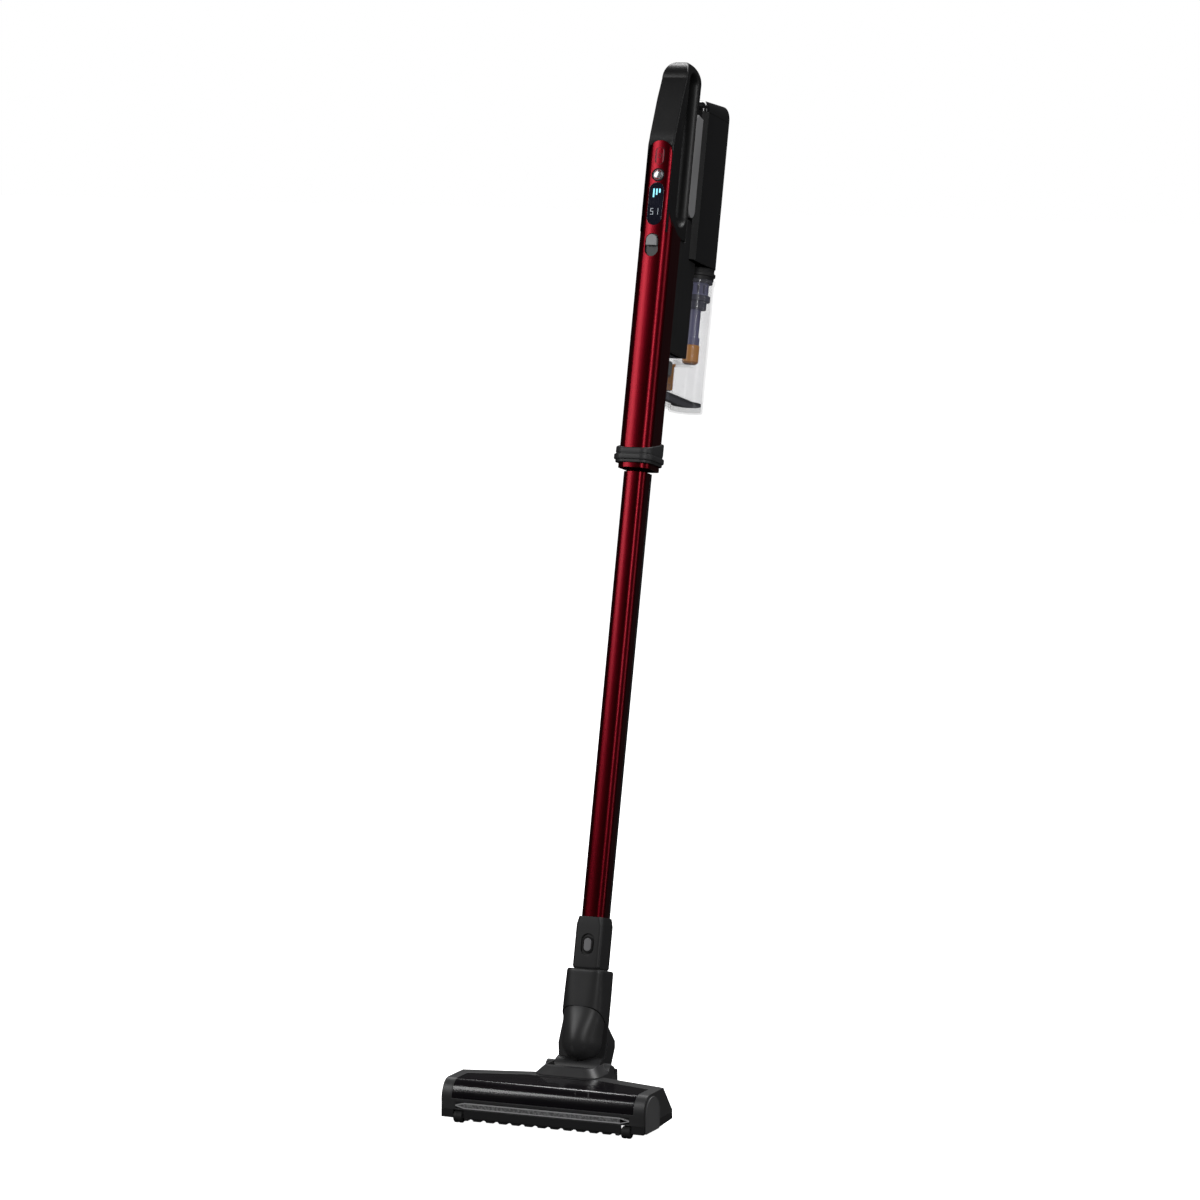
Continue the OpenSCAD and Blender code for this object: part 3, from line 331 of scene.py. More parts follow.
def shrink(ring, inset):
    """Moves a closed anticlockwise row of points inwards."""
    out = []
    for i, p in enumerate(ring):
        a, b = Vector(ring[i - 1]), Vector(ring[(i + 1) % len(ring)])
        here = Vector(p)
        d1, d2 = (here - a).normalized(), (b - here).normalized()
        n1, n2 = Vector((-d1.y, d1.x)), Vector((-d2.y, d2.x))
        mean = (n1 + n2).normalized()
        out.append(tuple(here + mean * inset / max(0.4, mean.dot(n1))))
    return out


def edge_rows(low, high, low_edge, high_edge, steps):
    """Insets and levels of a section that is rounded at both ends."""
    turn = [math.radians(90 * i / steps) for i in range(steps + 1)]
    rows = [(low_edge[0] * (1 - math.sin(t)), low + low_edge[1] * (1 - math.cos(t))) for t in turn]
    rows += [(high_edge[0] * (1 - math.cos(t)), high - high_edge[1] * (1 - math.sin(t)))
             for t in turn]
    kept = []
    for row in rows:
        if not kept or math.dist(row, kept[-1]) > 1e-6:
            kept.append(row)
    return kept


def moulding(name, rings, low, high, edge, put, material, top_edge=None, steps=5, sharp=32.0,
             mouth=None):
    """A flat moulding with rounded edges: the first ring is its outline, the others its openings.
    put turns the outline's two measures and the height into a point. mouth is how far the
    openings widen and how deep, where that differs from the outline's edge."""
    top_edge = edge if top_edge is None else top_edge
    outer_rows = edge_rows(low, high, (edge, edge), (top_edge, top_edge), steps)
    inner_rows = edge_rows(low, high, mouth, mouth, steps) if mouth else outer_rows
    points, faces, ends = [], [], ([], [])
    for which, ring in enumerate(rings):
        ring = clean(ring)
        rows = inner_rows if which else outer_rows
        count, start = len(ring), len(points)
        for inset, level in rows:
            moved = shrink(ring, inset if which == 0 else -inset) if abs(inset) > 1e-9 else ring
            points += [put(u, v, level) for u, v in moved]
        for row in range(len(rows) - 1):
            a, b = start + row * count, start + (row + 1) * count
            faces += [(a + i, a + (i + 1) % count, b + (i + 1) % count, b + i)
                      for i in range(count)]
        for end, row in ((0, 0), (1, len(rows) - 1)):
            inset = rows[row][0]
            moved = shrink(ring, inset if which == 0 else -inset) if abs(inset) > 1e-9 else ring
            ends[end].append((moved, start + row * count))
    for end in ends:
        flat = [[Vector((u, v, 0)) for u, v in moved] for moved, _ in end]
        index = [first + i for moved, first in end for i in range(len(moved))]
        faces += [tuple(index[i] for i in tri) for tri in tessellate_polygon(flat)]
    mesh = bpy.data.meshes.new(name)
    mesh.from_pydata(points, [], faces)
    work = bmesh.new()
    work.from_mesh(mesh)
    bmesh.ops.remove_doubles(work, verts=work.verts, dist=1e-7)
    bmesh.ops.recalc_face_normals(work, faces=work.faces)
    bmesh.ops.dissolve_limit(work, angle_limit=math.radians(0.2), verts=work.verts,
                             edges=[e for e in work.edges if len(e.link_faces) == 2 and all(
                                 len(f.verts) == 3 for f in e.link_faces)])
    work.to_mesh(mesh)
    work.free()
    return as_piece(name, mesh, material, sharp)


cap_mid, cap_half, cap_floor, cap_straight = 20.0, 17.0, 5.0, 22.0
for side, node in ((-1, "end_cap_left"), (1, "end_cap_right")):
    arch = arc(cap_mid, cap_straight, cap_half, 0, 180, 40)
    outline = arch + arc(cap_mid - cap_half + 2, cap_floor + 2, 2, 180, 270, 5) \
        + arc(cap_mid + cap_half - 2, cap_floor + 2, 2, 270, 360, 5)
    out_x = abs(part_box(node)[0].x if side < 0 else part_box(node)[1].x) / mm
    cap = moulding(node + "_cover", [outline], out_x - 1.5, out_x, 0.5,
                   lambda back, up, t, s=side: head(s * t, back, up), cap_grey.material)
    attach(cap, "head")
    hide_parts(node)


# ---------------------------------------------------------------- lamp strip
# A frosted acrylic bar across the head's front. Fine upright ribs moulded in it spread the light
# of a row of diodes behind, and its two ends taper to points.

lens = Finish("lamp_lens", Roughness=0.38, Transmission_Weight=0.25, IOR=1.45)
lens_dots = lens.noise(420.0, 2.0)
lens_rib = lens.node("ShaderNodeTexWave", {"bands_direction": "X", "wave_profile": "SIN"},
                     {"Vector": lens.place(), "Scale": 160.0})
lens.feed(Base_Color=lens.mix(lens_dots.step(0.35, 0.65), (0.20, 0.20, 0.205),
                              (0.42, 0.42, 0.425)),
          Roughness=0.30 + lens_dots * 0.25)
lens.bump(lens_rib * 0.6 + lens_dots * 0.4, 0.0002)
strip_low_corner, strip_high_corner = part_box("light_strip")
strip_half = strip_high_corner.x / mm
strip_z = (strip_low_corner.z / mm, strip_high_corner.z / mm)
strip_mid = (strip_z[0] + strip_z[1]) / 2
taper = 9.0
strip_outline = [(-strip_half, strip_mid - 0.5), (-strip_half + taper, strip_z[0] + 0.4),
                 (strip_half - taper, strip_z[0] + 0.4), (strip_half, strip_mid - 0.5),
                 (strip_half, strip_mid + 0.5), (strip_half - taper, strip_z[1] - 0.4),
                 (-strip_half + taper, strip_z[1] - 0.4), (-strip_half, strip_mid + 0.5)]
inner_outline = shrink(clean(strip_outline), 1.0)
strip = moulding("lamp_strip_lens", [inner_outline], -1.6, 0.15, 0.1,
                 lambda u, v, t: head(u, -t, v), lens.material)
rim_grey = plastic("lamp_rim", (0.62, 0.62, 0.63), 0.4)
strip_rim = moulding("lamp_strip_rim", [strip_outline, inner_outline], -1.6, 0.4, 0.15,
                     lambda u, v, t: head(u, -t, v), rim_grey.material)
for piece in (strip, strip_rim):
    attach(piece, "head")
    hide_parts("light_strip")


# ---------------------------------------------------------------- saddle and inner parts of head
# The hump over the pivot is a separate black moulding whose two bosses hold steel pitch pins.
# Inside the head are the brush motor, its belt and bearings, the suction elbow and steel axles.


def cut(piece, tool):
    """Takes the tool's solid away from the piece and drops the tool."""
    step = piece.modifiers.new("cut", "BOOLEAN")
    step.operation, step.object, step.solver = "DIFFERENCE", tool, "EXACT"
    done = bpy.data.meshes.new_from_object(
        piece.evaluated_get(bpy.context.evaluated_depsgraph_get()))
    name, material = piece.name, piece.data.materials[0]
    bpy.data.objects.remove(piece)
    bpy.data.objects.remove(tool)
    return as_piece(name, done, material)


def dress(node, finish):
    """Gives a solid that is shown as it is its finish."""
    for spot in nodes[node].material_slots:
        spot.material = finish.material


pivot_back, pivot_up = 95.0, 40.0
saddle_skin = eased("neck_saddle", 1.6, shell_black.material)
trim_outline = [(pivot_back - 3.5, pivot_up + 3.0), (pivot_back + 30, pivot_up + 3.0),
                (pivot_back + 30, pivot_up + 30), (pivot_back - 3.5, pivot_up + 30)]
saddle_skin = cut(saddle_skin, moulding("saddle_trim", [trim_outline], -40, 40, 0.02,
                                        lambda back, up, t: head(t, back, up),
                                        shell_black.material))
boss_r, boss_in, boss_out = 8.0, 25.3, 33.4
boss_outline = (arc(pivot_back, pivot_up, boss_r, -10, 190, 32)
                + [(pivot_back - boss_r, pivot_up - 7), (pivot_back + boss_r, pivot_up - 7)])
bosses = [moulding(f"saddle_boss_{name}", [boss_outline], boss_in, boss_out, 1.4,
                   lambda back, up, t, s=side: head(s * t, back, up), shell_black.material)
          for side, name in ((-1, "left"), (1, "right"))]
for piece in [saddle_skin] + bosses:
    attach(piece, "head")
    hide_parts("neck_saddle")

steel = Finish("bright_steel", Metallic=1.0)
turning = steel.noise(700.0, 3.0, (1, 0.05, 0.05))
steel.feed(Base_Color=steel.mix(turning, (0.50, 0.50, 0.51), (0.72, 0.72, 0.73)),
           Roughness=0.22 + turning * 0.18)
steel.bump(turning, 0.00001)
belt_rubber = plastic("belt_rubber", (0.012, 0.012, 0.012), 0.72, 2400.0, 0.00005)
inner_black = plastic("inner_plastic", (0.05, 0.05, 0.052), 0.5)
dress("suction_elbow", inner_black)
dress("brush_motor", steel)
dress("drive_belt", belt_rubber)
dress("roller_bearings", steel)
dress("wheel_axles", steel)
dress("head_screws", steel)
dress("pitch_pins", steel)


# ---------------------------------------------------------------- brush roll
# A red nylon-tufted roller behind the window, driven by the belt on its left end. The core is
# grey plastic with the tufts set in four spiralling rows.

core_grey = plastic("roller_core_plastic", (0.10, 0.10, 0.105), 0.42)
dress("roller_core", core_grey)
red_nylon = Finish("red_bristles", Roughness=0.55, Sheen_Weight=0.2)
red_tone = red_nylon.noise(500.0, 3.0)
red_nylon.feed(Base_Color=red_nylon.mix(red_tone, (0.16, 0.008, 0.012), (0.42, 0.02, 0.03)),
               Roughness=0.45 + red_tone * 0.25)
red_nylon.bump(red_tone, 0.0001)
brass = Finish("pinion_brass", Metallic=1.0)
brass_mark = brass.noise(600.0, 3.0)
brass.feed(Base_Color=brass.mix(brass_mark, (0.55, 0.38, 0.12), (0.74, 0.56, 0.24)),
           Roughness=0.28 + brass_mark * 0.2)
brass.bump(brass_mark, 0.00001)
dress("motor_pinion", brass)


def tree_for(name, numbers):
    """An empty modifier tree with a mesh input and named numbers, and the places of both."""
    group = bpy.data.node_groups.new(name, "GeometryNodeTree")
    group.interface.new_socket("Geometry", in_out="INPUT", socket_type="NodeSocketGeometry")
    for label in numbers:
        group.interface.new_socket(label, in_out="INPUT", socket_type="NodeSocketFloat")
    group.interface.new_socket("Geometry", in_out="OUTPUT", socket_type="NodeSocketGeometry")
    graph = Graph(group)
    start = graph.node("NodeGroupInput")
    return group, graph, start


def grown(name, base, group, numbers, material):
    """Runs a tree on a base mesh and keeps the result as a plain mesh."""
    holder = bpy.data.objects.new("holder", base)
    studio.collection.objects.link(holder)
    step = holder.modifiers.new("grow", "NODES")
    step.node_group = group
    for item in group.interface.items_tree:
        if item.in_out == "INPUT" and item.name in numbers:
            step[item.identifier] = float(numbers[item.name])
    made = bpy.data.meshes.new_from_object(
        holder.evaluated_get(bpy.context.evaluated_depsgraph_get()))
    bpy.data.objects.remove(holder)
    return as_piece(name, made, material)


def finish_tree(graph, shape, material):
    real = graph.node("GeometryNodeRealizeInstances", {}, {0: shape})
    dressed = graph.node("GeometryNodeSetMaterial", {}, {"Geometry": real, "Material": material})
    end = graph.tree.nodes.new("NodeGroupOutput")
    graph.tree.links.new(dressed.output, end.inputs[0])


def tuft_tree(name, material, seed):
    """A bristle on every point of the base, standing along its normal with a little wander."""
    group, graph, start = tree_for(name, ("Length", "Thickness", "Wander", "Unevenness"))
    strand = graph.node("GeometryNodeMeshCone", {}, {
        "Vertices": 5, "Side Segments": 2, "Radius Top": start.other("Thickness") * 0.55,
        "Radius Bottom": start.other("Thickness"), "Depth": start.other("Length")})
    normal = graph.node("GeometryNodeInputNamedAttribute", {"data_type": "FLOAT_VECTOR"},
                        {"Name": "grow_along"})
    drift = graph.node("FunctionNodeRandomValue", {"data_type": "FLOAT_VECTOR"}, {
        0: (-1, -1, -1), 1: (1, 1, 1), "Seed": seed})
    bent = graph.node("ShaderNodeVectorMath", {"operation": "SCALE"},
                      {0: drift, "Scale": start.other("Wander")})
    aim = graph.node("ShaderNodeVectorMath", {"operation": "ADD"}, {0: normal, 1: bent})
    turn = graph.node("FunctionNodeAlignEulerToVector", {"axis": "Z"}, {"Vector": aim})
    scatter = graph.node("FunctionNodeRandomValue", {"data_type": "FLOAT"}, {
        2: 1.0 - start.other("Unevenness"), 3: 1.0, "Seed": seed + 1})
    size = graph.node("ShaderNodeCombineXYZ", {}, {0: 1.0, 1: 1.0, 2: scatter})
    planted = graph.node("GeometryNodeInstanceOnPoints", {}, {
        "Points": start, "Instance": strand, "Rotation": turn, "Scale": size})
    finish_tree(graph, planted, material)
    return group


def tuft_base(name, spots):
    """Points with the direction in which a bristle grows from each."""
    base = bpy.data.meshes.new(name)
    base.from_pydata([p for p, _ in spots], [], [])
    along = base.attributes.new("grow_along", "FLOAT_VECTOR", "POINT")
    along.data.foreach_set("vector", [c for _, d in spots for c in d])
    return base


roll_mid = (Vector(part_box("roller_core")[0]) + Vector(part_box("roller_core")[1])) / 2
roll_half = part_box("roller_bristles")[1].x - 0.002
tuft_rows, tufts_each, strands_each = 4, 58, 7
root_radius, tuft_length = 0.0088, 0.0070
spots = []
for row in range(tuft_rows):
    for i in range(tufts_each):
        along = (i + 0.5) / tufts_each
        x = (2 * along - 1) * roll_half
        angle = 2 * math.pi * (row / tuft_rows + 0.75 * along)
        for k in range(strands_each):
            a = angle + 0.05 * math.cos(2.4 * k)
            out = Vector((0, math.cos(a), math.sin(a)))
            spots.append((roll_mid + Vector((x + 0.0007 * math.sin(2.4 * k), 0, 0))
                          + out * root_radius, out))
tufts = grown("brush_roll_tufts", tuft_base("tuft_roots", spots),
              tuft_tree("roller_tufts", red_nylon.material, 11),
              {"Length": tuft_length, "Thickness": 0.00028, "Wander": 0.10, "Unevenness": 0.06},
              red_nylon.material)
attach(tufts, "brush_roll")
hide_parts("roller_bristles")


# ---------------------------------------------------------------- wheels
# Four small rollers of grey plastic with a soft rubber tread, free on steel axles: two in
# brackets at the head's front corners and two under the neck.


def skin(name, rings, material, closed=False, sharp=32.0):
    """Joins rings of equal numbers of points. Both ends are filled unless closed joins them."""
    count = len(rings[0])
    points = [p for ring in rings for p in ring]
    faces = []
    rows = len(rings) if closed else len(rings) - 1
    for row in range(rows):
        low, high = row * count, (row + 1) % len(rings) * count
        for i in range(count):
            j = (i + 1) % count
            faces.append((low + i, low + j, high + j, high + i))
    if not closed:
        faces.append(tuple(range(count))[::-1])
        faces.append(tuple((len(rings) - 1) * count + i for i in range(count)))
    mesh = bpy.data.meshes.new(name)
    mesh.from_pydata(points, [], faces)
    work = bmesh.new()
    work.from_mesh(mesh)
    bmesh.ops.remove_doubles(work, verts=work.verts, dist=1e-7)
    bmesh.ops.recalc_face_normals(work, faces=work.faces)
    work.to_mesh(mesh)
    work.free()
    return as_piece(name, mesh, material, sharp)


def turned(name, profile, put, material, steps=72, sharp=32.0):
    """A turned part: a closed profile of (radius, height) swept round; put places x, y, height."""
    rings = []
    for i in range(steps):
        t = 2 * math.pi * i / steps
        rings.append([put(r * math.cos(t), r * math.sin(t), h) for r, h in profile])
    return skin(name, rings, material, closed=True, sharp=sharp)


tread = plastic("wheel_tread", (0.018, 0.018, 0.018), 0.62, 1600.0, 0.00004)
for node, body in (("front_wheel_left", "front_wheel_l"), ("front_wheel_right", "front_wheel_r"),
                   ("rear_wheel_left", "rear_wheel_l"), ("rear_wheel_right", "rear_wheel_r")):
    low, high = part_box(node)
    mid = (low + high) / 2
    r = (high.z - low.z) / 2 / mm
    half = (high.x - low.x) / 2 / mm
    bore = 1.55 if "front" in node else 2.05
    profile = [(bore, -half + 0.6), (bore + 1.2, -half + 0.2), (0.70 * r, -half + 0.8),
               (0.74 * r, -half), (r - 0.9, -half), (r - 0.2, -half + 0.5), (r, -half + 1.3),
               (r, -1.2), (r - 0.35, -0.9), (r - 0.35, 0.9), (r, 1.2), (r, half - 1.3),
               (r - 0.2, half - 0.5), (r - 0.9, half), (0.74 * r, half), (0.70 * r, half - 0.8),
               (bore + 1.2, half - 0.2), (bore, half - 0.6)]
    wheel = turned(node + "_tyre", profile,
                   lambda u, v, h, m=mid: m + Vector((h, u, v)) * mm, tread.material, 48)
    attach(wheel, body)
    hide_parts(node)


# ---------------------------------------------------------------- neck
# Dark grey moulded plastic. The fork tips on the pins and carries a bulging cover; the housing
# above turns on a ring set at a slant, so the wand steers the head when it is twisted.

lean = math.radians(13.8)


def wand(x, back, up):
    """A point of the leaning wand, from millimetres across, back and up from the neck's pivot."""
    return Vector((x * mm,
                   pivot.y + (back * math.cos(lean) + up * math.sin(lean)) * mm,
                   pivot.z + (up * math.cos(lean) - back * math.sin(lean)) * mm))


neck_grey = plastic("neck_plastic", (0.030, 0.030, 0.031), 0.42)
dome_grey = plastic("dome_plastic", (0.045, 0.045, 0.046), 0.38)
dress("swivel_ring", inner_black)
fork_skin = eased("neck_fork", 1.2, neck_grey.material)
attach(fork_skin, "neck")
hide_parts("neck_fork")

dome_r, dome_mid, dome_high, dome_rear = 20.0, 29.0, 66.0, -2.1


def dome_ring(up):
    """The cover's section: half a circle below that squares off and flattens upwards."""
    rise = min(1.0, max(0.0, (up - dome_mid) / 37.0))
    rise = rise * rise * (3 - 2 * rise)
    round_half = math.sqrt(max(0.0, dome_r ** 2 - min(0.0, up - dome_mid) ** 2))
    half = round_half + 1.7 * rise
    front = 6.0 * (1 - rise) + round_half + dome_rear
    power = 2.0 / (2.0 + 0.5 * rise)
    turn = [math.pi * i / 48 for i in range(49)]
    return [wand(math.copysign(half * abs(math.cos(t)) ** power, math.cos(t)),
                 dome_rear - front * math.sin(t) ** power, up) for t in turn]


dome_levels = ([dome_mid - 19.6 * math.cos(math.radians(5 * i)) for i in range(18)]
               + [dome_mid + i for i in range(0, int(dome_high - dome_mid) + 1)])
dome_skin = skin("neck_dome_cover", [dome_ring(up) for up in dome_levels], dome_grey.material)
seam_tilt, seam_front_up = math.radians(38), 62


def seam_point(along, above, x):
    """A point from its measures along the seam's slant, square to it and across the neck."""
    return wand(x, -20 + along * math.cos(seam_tilt) + above * math.sin(seam_tilt),
                seam_front_up - along * math.sin(seam_tilt) + above * math.cos(seam_tilt))


above_seam = moulding("above_seam", [[(-60.0, 0.0), (60.0, 0.0), (60.0, 60.0), (-60.0, 60.0)]],
                      -40, 40, 0.02, seam_point, dome_grey.material)
dome_skin = cut(dome_skin, above_seam)
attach(dome_skin, "neck")
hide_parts("neck_dome")

neck_top = 99.0
housing_rows = [(28.0 + 3 * i, 21.7, -20.0, 18.0, 3.3) for i in range(11)]
housing_rows += [(64.0 + (neck_top - 69.0) * i / 5, 21.7 - 0.34 * i, -20.0 + 0.2 * i, 18.0,
                  3.3 + 0.3 * i) for i in range(6)]
housing_rows += [(neck_top - 3.0, 20.0, -19.0, 18.0, 4.8), (neck_top - 1.6, 19.8, -18.8, 17.9, 4.8),
                 (neck_top - 0.7, 19.3, -18.4, 17.5, 4.8), (neck_top - 0.2, 18.5, -17.7, 16.8, 4.8)]
housing_rings = []
for up, half, front, rear, square in housing_rows:
    turn = [2 * math.pi * (i + 0.5) / 96 for i in range(96)]
    housing_rings.append([
        wand(math.copysign(half * abs(math.cos(t)) ** (2 / square), math.cos(t)),
             (front + rear) / 2 + math.copysign(
                 (rear - front) / 2 * abs(math.sin(t)) ** (2 / square), math.sin(t)), up)
        for t in turn])
housing_skin = skin("neck_housing_shell", housing_rings, neck_grey.material)
below_seam = moulding("below_seam", [[(-80.0, -80.0), (80.0, -80.0), (80.0, 0.35), (-80.0, 0.35)]],
                      -40, 40, 0.02, seam_point, neck_grey.material)
housing_skin = cut(housing_skin, below_seam)
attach(housing_skin, "wand")
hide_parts("neck_housing")


# ---------------------------------------------------------------- connector
# A square grey sleeve that takes the pipe's lower end. A sprung pale button in an oval recess
# on its front frees the pipe.


def stadium(w, low, high, steps=16):
    """An upright slot with half-round ends, w wide, from low to high."""
    r = w / 2
    return arc(0, high - r, r, 0, 180, steps) + arc(0, low + r, r, 180, 360, steps)


sleeve_skin = eased("lower_connector", 0.6, neck_grey.material)
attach(sleeve_skin, "wand")
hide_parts("lower_connector")
spring_back, spring_up, coil_r, wire_r, spring_turns = -9.45, 122.5, 2.3, 0.2, 3
spring_long = 2.2
spring_rings = []
for i in range(spring_turns * 20 + 1):
    round_turn = 2 * math.pi * i / 20
    level = spring_back - wire_r - (spring_long - 2 * wire_r) * i / (spring_turns * 20)
    spring_rings.append([
        wand((coil_r + wire_r * math.cos(t)) * math.cos(round_turn), level + wire_r * math.sin(t),
             spring_up + (coil_r + wire_r * math.cos(t)) * math.sin(round_turn))
        for t in (2 * math.pi * k / 8 for k in range(8))])
coil = skin("button_spring_coil", spring_rings, steel.material)
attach(coil, "wand")
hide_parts("button_spring")
wand(0, 1, 0) - wand(0, 0, 0)
wand(0, spring_back, spring_up)
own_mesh(coil)

# Painted shade: a flat near-black ring laid over the recess round the button stands in for the
# shade in that gap.
recess_painted_shade = plastic("painted_recess_shade", (0.002, 0.002, 0.0022), 0.6)
recess_ring = moulding("button_recess_shade_ring", [stadium(11.4, 114.3, 130.7),
                                              stadium(8.3, 115.85, 129.15)],
                       -14.55, -14.1, 0.05, lambda u, v, t: wand(u, t, v), recess_painted_shade.material,
                       steps=2)
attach(recess_ring, "wand")
button_face = plastic("button_plastic", (0.30, 0.30, 0.31), 0.35, 1400.0, 0.00002)
button_w, button_low, button_high = 8.0, 116.0, 129.0
sleeve_face = -14.5
button = moulding("release_button_key", [stadium(button_w, button_low, button_high)],
                  sleeve_face + 0.2, sleeve_face + 2.8, 0.7,
                  lambda u, v, t: wand(u, t, v), button_face.material)
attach(button, "release_button")
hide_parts("connector_button")


# ---------------------------------------------------------------- extension pipe
# A drawn aluminium section, brushed along its length and anodised wine red, with a black plastic
# cover snapped into its open back over two copper conductors that feed the head.

def anodised(name, deep, bright):
    made = Finish(name, Metallic=1.0, Coat_Weight=0.12, Coat_Roughness=0.2)
    drawn = made.noise(1.0, 3.0, (1500, 1500, 9), (lean, 0, 0))
    cloud = made.noise(11.0, 3.0)
    made.feed(Base_Color=made.mix(drawn * 0.6 + cloud * 0.4, deep, bright),
              Roughness=0.24 + drawn * 0.12 + (cloud - 0.5) * 0.06)
    return made.bump(drawn, 0.000012)


wine_red = anodised("wine_red_anodised", (0.11, 0.0012, 0.005), (0.19, 0.0025, 0.010))
cover_black = plastic("cover_plastic", (0.014, 0.014, 0.015), 0.40)
copper = Finish("copper_strip", Metallic=1.0)
copper_mark = copper.noise(300.0, 3.0)
copper.feed(Base_Color=copper.mix(copper_mark, (0.45, 0.19, 0.10), (0.72, 0.36, 0.22)),
            Roughness=0.3 + copper_mark * 0.2)
copper.bump(copper_mark, 0.00001)
dress("conductor_strip", copper)

pipe_w, pipe_d, pipe_r, pipe_split = 24.0, 26.5, 6.5, 4.0
pipe_low, pipe_high = 144.0, 589.0


def crowned(ring, radius, front):
    """Bows the front of a section: points fall back from the middle as on a circle."""
    return [(x, y + (radius - math.sqrt(radius ** 2 - x * x)) * min(1.0, max(0.0, y / front)))
            for x, y in ring]


def across(x, y, count=10):
    """Points between the two ends of a face, so that it can bow."""
    return [(-x + 2 * x * i / count, y) for i in range(1, count)]


def channel(w, d, r, split):
    """An open-backed section: round front corners, straight sides, and a flat web at the back."""
    x, y = w / 2, -d / 2
    ring = (arc(-x + r, y + r, r, 180, 270, 12) + across(x - r, y)
            + arc(x - r, y + r, r, 270, 360, 12)
            + [(x, split - 0.2), (x - 0.2, split), (-x + 0.2, split), (-x, split - 0.2)])
    return crowned(ring, 30.0, y)


pipe = moulding("extension_pipe_tube", [
    channel(pipe_w, pipe_d, pipe_r, pipe_split),
    channel(pipe_w - 3, pipe_d - 3, pipe_r - 1.5, pipe_split - 1.5)],
    pipe_low, pipe_high, 0.15, wand, wine_red.material, steps=2)
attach(pipe, "wand")
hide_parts("extension_pipe")

cover_skin = eased("pipe_cover", 0.4, cover_black.material)
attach(cover_skin, "wand")
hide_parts("pipe_cover")
latch_skin = eased("pipe_latch", 0.4, cover_black.material)
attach(latch_skin, "latch_button")
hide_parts("pipe_latch")


# ---------------------------------------------------------------- dusting brush
# A collar of dark grey plastic that slides on the red tube, cut at a slant along its top, with a
# skirt of black bristles packed into a groove on its underside.

collar_grey = plastic("collar_plastic", (0.040, 0.040, 0.042), 0.45)
tube_w, tube_d, tube_r = 34.0, 40.0, 9.0


def round_box(w, d, r, cx=0.0, cy=0.0, steps=10):
    """A rectangle with round corners, as a closed row of points."""
    x, y = w / 2 - r, d / 2 - r
    return (arc(cx + x, cy + y, r, 0, 90, steps) + arc(cx - x, cy + y, r, 90, 180, steps)
            + arc(cx - x, cy - y, r, 180, 270, steps) + arc(cx + x, cy - y, r, 270, 360, steps))


def band(w, d, r, front, rear):
    """One ring of a collar whose height runs from front to rear."""
    ring = round_box(w, d, r, steps=12)
    return [wand(x, y, front + (rear - front) * (y + ring_d / 2) / ring_d) for x, y in ring]


ring_w, ring_d, ring_r = 42.0, 47.0, 12.0
collar_rows = [(ring_w - 5, ring_d - 5, ring_r - 2, 597.6, 597.6),
               (ring_w - 3.4, ring_d - 3.4, ring_r - 1.2, 597.0, 597.0),
               (ring_w - 3.0, ring_d - 3.0, ring_r - 1, 597.6, 597.6),
               (ring_w - 3.0, ring_d - 3.0, ring_r - 1, 599.6, 599.6),
               (ring_w - 0.8, ring_d - 0.8, ring_r - 0.4, 600.0, 600.0),
               (ring_w, ring_d, ring_r, 600.8, 600.8),
               (ring_w, ring_d, ring_r, 604.2, 604.2),
               (ring_w - 0.8, ring_d - 0.8, ring_r - 0.4, 605.0, 605.0),
               (ring_w - 3.2, ring_d - 3.2, ring_r - 1, 605.4, 605.4),
               (ring_w - 3.2, ring_d - 3.2, ring_r - 1, 606.2, 607.4),
               (ring_w - 2.6, ring_d - 2.6, ring_r - 1, 606.8, 608.4),
               (ring_w - 2.6, ring_d - 2.6, ring_r - 1, 609.8, 620.6),
               (ring_w - 3.2, ring_d - 3.2, ring_r - 1, 610.7, 621.6),
               (ring_w - 4.2, ring_d - 4.2, ring_r - 1.5, 611.0, 622.0),
               (tube_w + 0.5, tube_d + 0.5, tube_r + 0.2, 611.0, 622.0),
               (tube_w + 0.1, tube_d + 0.1, tube_r, 610.4, 621.4),
               (tube_w + 0.1, tube_d + 0.1, tube_r, 598.0, 598.0)]
collar = skin("brush_collar", [band(*row) for row in collar_rows], collar_grey.material,
              closed=True)
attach(collar, "dust_brush")
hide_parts("brush_ring")

black_nylon = Finish("black_bristles", Roughness=0.5, Sheen_Weight=0.15)
black_tone = black_nylon.noise(700.0, 3.0)
black_nylon.feed(Base_Color=black_nylon.mix(black_tone, (0.008, 0.008, 0.009),
                                            (0.035, 0.035, 0.038)),
                 Roughness=0.42 + black_tone * 0.2)
black_nylon.bump(black_tone, 0.00005)
spots = []
per_row = 230
for row, (inset, splay) in enumerate(((4.4, 0.10), (5.4, 0.06), (6.4, 0.03))):
    ring = clean(round_box(ring_w - inset, ring_d - inset, ring_r - inset / 2, steps=12))
    around = sum(math.dist(a, b) for a, b in zip(ring, ring[1:] + ring[:1]))
    gone, pick = 0.0, 0
    for i, (a, b) in enumerate(zip(ring, ring[1:] + ring[:1])):
        run = math.dist(a, b)
        while pick < per_row and pick * around / per_row <= gone + run:
            t = (pick * around / per_row - gone) / run
            x, y = a[0] + (b[0] - a[0]) * t, a[1] + (b[1] - a[1]) * t
            out = Vector((b[1] - a[1], a[0] - b[0])).normalized()
            root = wand(x, y, 597.8)
            tip = wand(x + out.x * splay * 20, y + out.y * splay * 20, 578.4)
            spots.append((root, (tip - root).normalized()))
            pick += 1
        gone += run
skirt = grown("brush_skirt", tuft_base("skirt_roots", spots),
              tuft_tree("skirt_bristles", black_nylon.material, 23),
              {"Length": 0.0195, "Thickness": 0.00032, "Wander": 0.035, "Unevenness": 0.10},
              black_nylon.material)
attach(skirt, "dust_brush")
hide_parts("brush_bristles")


